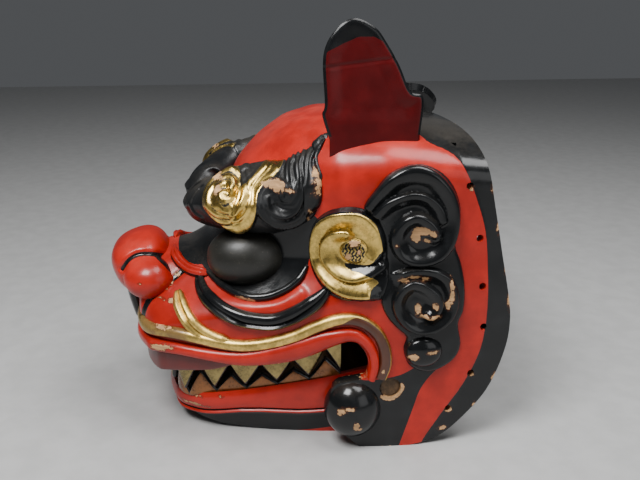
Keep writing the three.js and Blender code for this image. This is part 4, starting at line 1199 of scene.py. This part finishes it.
class LIONHEAD_OT_eyes(PieceOperator, bpy.types.Operator):
    """Add the eyes, their lids and the bands under them"""
    bl_idname = "lion_head.eyes"
    bl_label = "Eyes"

    def build(self, context, sizes):
        eye = sunk_ball(EYE_CENTRE, EYE_RADII)
        self.pair(context, "dull_eye", eye, "dull_black", ["eye paint"], ["eye"], middle=EYE_CENTRE)
        points, faces, across = side_band(EYE_BAND, 7.4, 6.5, 0.2, 140, ribs=3.0, rib_at=0.28)
        band = points, faces, {"black": FULL, "wear": np.abs(across) * 0.5 - 3.4}
        self.pair(context, "ribbed_band", band, "black_lacquer", ["black lacquer"], ["eye_band"])
        points, faces, _ = side_band(LID_LINE[1:], 3.4, 5.0, 0.5, 100)
        chips = blobs(points[:, 1], points[:, 2], LID_CHIPS)
        lid = points, faces, {"black": FULL, "wear": -1.6, "chip": chips}
        self.pair(context, "lower_lid", lid, "black_lacquer", ["black lacquer"])
        points, faces, across = side_band(EYE_CORNER, 5.2, 6.0, 0.0, 90, ribs=1.4, tip=0.08)
        corner = points, faces, {"wear": 0.7 * (np.abs(across) - 4.6), "black": across - 4.4}
        self.pair(context, "eye_corner", corner, "red_lacquer", ["red lacquer"])


class LIONHEAD_OT_lips(PieceOperator, bpy.types.Operator):
    """Add the gilded lip line and the red upper lip"""
    bl_idname = "lion_head.lips"
    bl_label = "Lips"

    def build(self, context, sizes):
        self.one(context, "gilded_lip_line", gilded_line(), "gold_leaf", ["gilding"], ["lip_line"])
        self.one(context, "upper_lip_roll", lip_roll(), "red_lacquer", ["red lacquer"], ["upper_lip"])
        # The gum's dark red is painted shade under the upper lip.
        self.one(context, "dark_gum", gum_band(), "red_lacquer", ["dark gum"])


class LIONHEAD_OT_teeth(PieceOperator, bpy.types.Operator):
    """Add both rows of pointed teeth"""
    bl_idname = "lion_head.teeth"
    bl_label = "Teeth"

    def build(self, context, sizes):
        self.one(context, "upper_tooth_row", tooth_row(True), "gold_leaf", ["dull gilding"], ["upper_teeth"])
        self.one(context, "lower_tooth_row", tooth_row(False), "gold_leaf", ["brown gilding"],
                 ["lower_teeth"], body="jaw")


class LIONHEAD_OT_mane(PieceOperator, bpy.types.Operator):
    """Add the gilded cheek spirals and the black mane behind them"""
    bl_idname = "lion_head.mane"
    bl_label = "Mane"

    def build(self, context, sizes):
        skin = sizes.skin / MM
        self.pair(context, "gilded_spiral", spiral_skin(), "gold_leaf", ["black lacquer"],
                  ["cheek_spiral"], wall=skin)
        for side, top in (("left", MANE_UNCUT_Z), ("right", MANE_CUT_Z)):
            self.one(context, f"carved_mane_{side}", mane_skin(top), "black_lacquer", ["black lacquer"],
                     [f"mane_{side}"], wall=skin, mirror=side == "right")


class LIONHEAD_OT_jaw(PieceOperator, bpy.types.Operator):
    """Add the lower jaw and the bosses beside it"""
    bl_idname = "lion_head.jaw"
    bl_label = "Jaw"

    def build(self, context, sizes):
        self.one(context, "painted_jaw", jaw_skin(), "red_lacquer", ["red lacquer", "hollow wood"],
                 ["lower_jaw"], body="jaw", wall=sizes.jaw_wall / MM, middle=JAW_MIDDLE)
        points, faces, _ = sunk_ball(*JAW_BOSS)
        paint = {"black": FULL, "wear": -5.0, "chip": blobs(points[:, 1], points[:, 2], BOSS_CHIPS)}
        self.pair(context, "round_boss", (points, faces, paint), "black_lacquer", ["black lacquer"],
                  ["jaw_boss"], middle=JAW_BOSS[0])


class LIONHEAD_OT_ears(PieceOperator, bpy.types.Operator):
    """Add the standing left ear and the right ear that is laid back"""
    bl_idname = "lion_head.ears"
    bl_label = "Ears"

    def build(self, context, sizes):
        points, faces, paint = ear_skin()
        faces = turned_out(points, faces, EAR_INNER)
        back, out = math.radians(LAID_BACK), math.radians(LAID_OUT)
        tip = np.array(((1, 0, 0), (0, math.cos(back), -math.sin(back)), (0, math.sin(back), math.cos(back))))
        lean = np.array(((math.cos(out), 0, math.sin(out)), (0, 1, 0), (-math.sin(out), 0, math.cos(out))))
        laid = (lean @ tip) * LEFT_TO_RIGHT
        for name, turn, place, node in (("standing_ear", np.eye(3), STANDING_AT, "ear_left"),
                                        ("laid_ear", laid, LAID_AT, "ear_right")):
            self.one(context, name, (points @ turn.T + place, faces, paint), "red_lacquer",
                     ["crimson lacquer", "black lacquer"], [node], wall=EAR_WALL,
                     middle=turn @ EAR_INNER + place)


class LIONHEAD_OT_wood(PieceOperator, bpy.types.Operator):
    """Give the rod and the pegs their wood"""
    bl_idname = "lion_head.wood"
    bl_label = "Bare wood"

    def build(self, context, sizes):
        woods = {"jaw_rod": "rod wood", "ear_peg_left": "peg wood", "ear_peg_right": "peg wood"}
        for node, finish in woods.items():
            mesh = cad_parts[node].data
            mesh.materials.clear()
            mesh.materials.append(finish_named(context, finish))


class LIONHEAD_OT_stage(PieceOperator, bpy.types.Operator):
    """Add the floor, the lights and the camera"""
    bl_idname = "lion_head.stage"
    bl_label = "Stage"

    def build(self, context, sizes):
        reach = sizes.floor
        u, v = np.meshgrid(np.linspace(-1, 1, 5), np.linspace(-1, 1, 5), indexing="ij")
        mesh = bpy.data.meshes.new("floor")
        mesh.from_pydata(np.stack([u * reach, v * reach, 0 * u], axis=-1).reshape(-1, 3).tolist(), [],
                         grid_faces(5, 5).tolist())
        p = Paint("pale floor")
        tone = p.noise(40, 3)
        colour = p.mix(p.step(tone, 0.3, 0.7), *FLOOR_TONES)
        mesh.materials.append(p.finish(colour, 0.6 + (tone - 0.5) * 0.1, 0.0, tone, coat=0.0, bump=0.0002))
        floor = bpy.data.objects.new("floor", mesh)
        context.scene.collection.objects.link(floor)
        world = bpy.data.worlds.new("studio")
        world.use_nodes = True
        sky = world.node_tree.nodes["Background"].inputs
        sky["Color"].default_value, sky["Strength"].default_value = SKY_COLOUR, SKY_STRENGTH
        context.scene.world = world
        for name, place, aim, energy, size in LIGHTS:
            lamp = bpy.data.lights.new(name, "AREA")
            lamp.energy, lamp.size = energy, size
            light = bpy.data.objects.new(name, lamp)
            light.location = place
            light.rotation_euler = (Vector(aim) - light.location).to_track_quat("-Z", "Y").to_euler()
            context.scene.collection.objects.link(light)
        lens = bpy.data.cameras.new("view")
        lens.lens, lens.sensor_width, lens.sensor_fit = CAMERA_LENS, CAMERA_SENSOR, "HORIZONTAL"
        camera = bpy.data.objects.new("view", lens)
        azimuth, elevation = math.radians(CAMERA_AZIMUTH), math.radians(CAMERA_ELEVATION)
        side = Vector((math.sin(azimuth) * math.cos(elevation), -math.cos(azimuth) * math.cos(elevation),
                       math.sin(elevation)))
        camera.location = Vector((0.0, BACK_SHIFT * MM, CAMERA_AIM_Z)) + CAMERA_DISTANCE * side
        camera.rotation_euler = (-side).to_track_quat("-Z", "Y").to_euler()
        context.scene.collection.objects.link(camera)
        context.scene.camera = camera


PIECES = (LIONHEAD_OT_shell, LIONHEAD_OT_nose, LIONHEAD_OT_brows, LIONHEAD_OT_eyes, LIONHEAD_OT_lips,
          LIONHEAD_OT_teeth, LIONHEAD_OT_mane, LIONHEAD_OT_jaw, LIONHEAD_OT_ears, LIONHEAD_OT_wood,
          LIONHEAD_OT_stage)


class LIONHEAD_PT_sidebar(bpy.types.Panel):
    """Pieces, colours and sizes of the lion dance head"""
    bl_label = "Lion dance head"
    bl_idname = "LIONHEAD_PT_sidebar"
    bl_space_type = "VIEW_3D"
    bl_region_type = "UI"
    bl_category = "Lion head"

    def draw(self, context):
        for group in (context.scene.lion_head_colours, context.scene.lion_head_sizes):
            for key in group.__annotations__:
                self.layout.prop(group, key)
        for piece in PIECES:
            self.layout.operator(piece.bl_idname)


CLASSES = (LionHeadColours, LionHeadSizes, *PIECES, LIONHEAD_PT_sidebar)


def register():
    for cls in CLASSES:
        bpy.utils.register_class(cls)
    bpy.types.Scene.lion_head_colours = bpy.props.PointerProperty(type=LionHeadColours)
    bpy.types.Scene.lion_head_sizes = bpy.props.PointerProperty(type=LionHeadSizes)


def unregister():
    del bpy.types.Scene.lion_head_sizes
    del bpy.types.Scene.lion_head_colours
    for cls in reversed(CLASSES):
        bpy.utils.unregister_class(cls)


def main():
    register()
    for piece in PIECES:
        getattr(bpy.ops.lion_head, piece.bl_idname.split(".")[1])()
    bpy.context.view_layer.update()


if __name__ == "__main__":
    main()
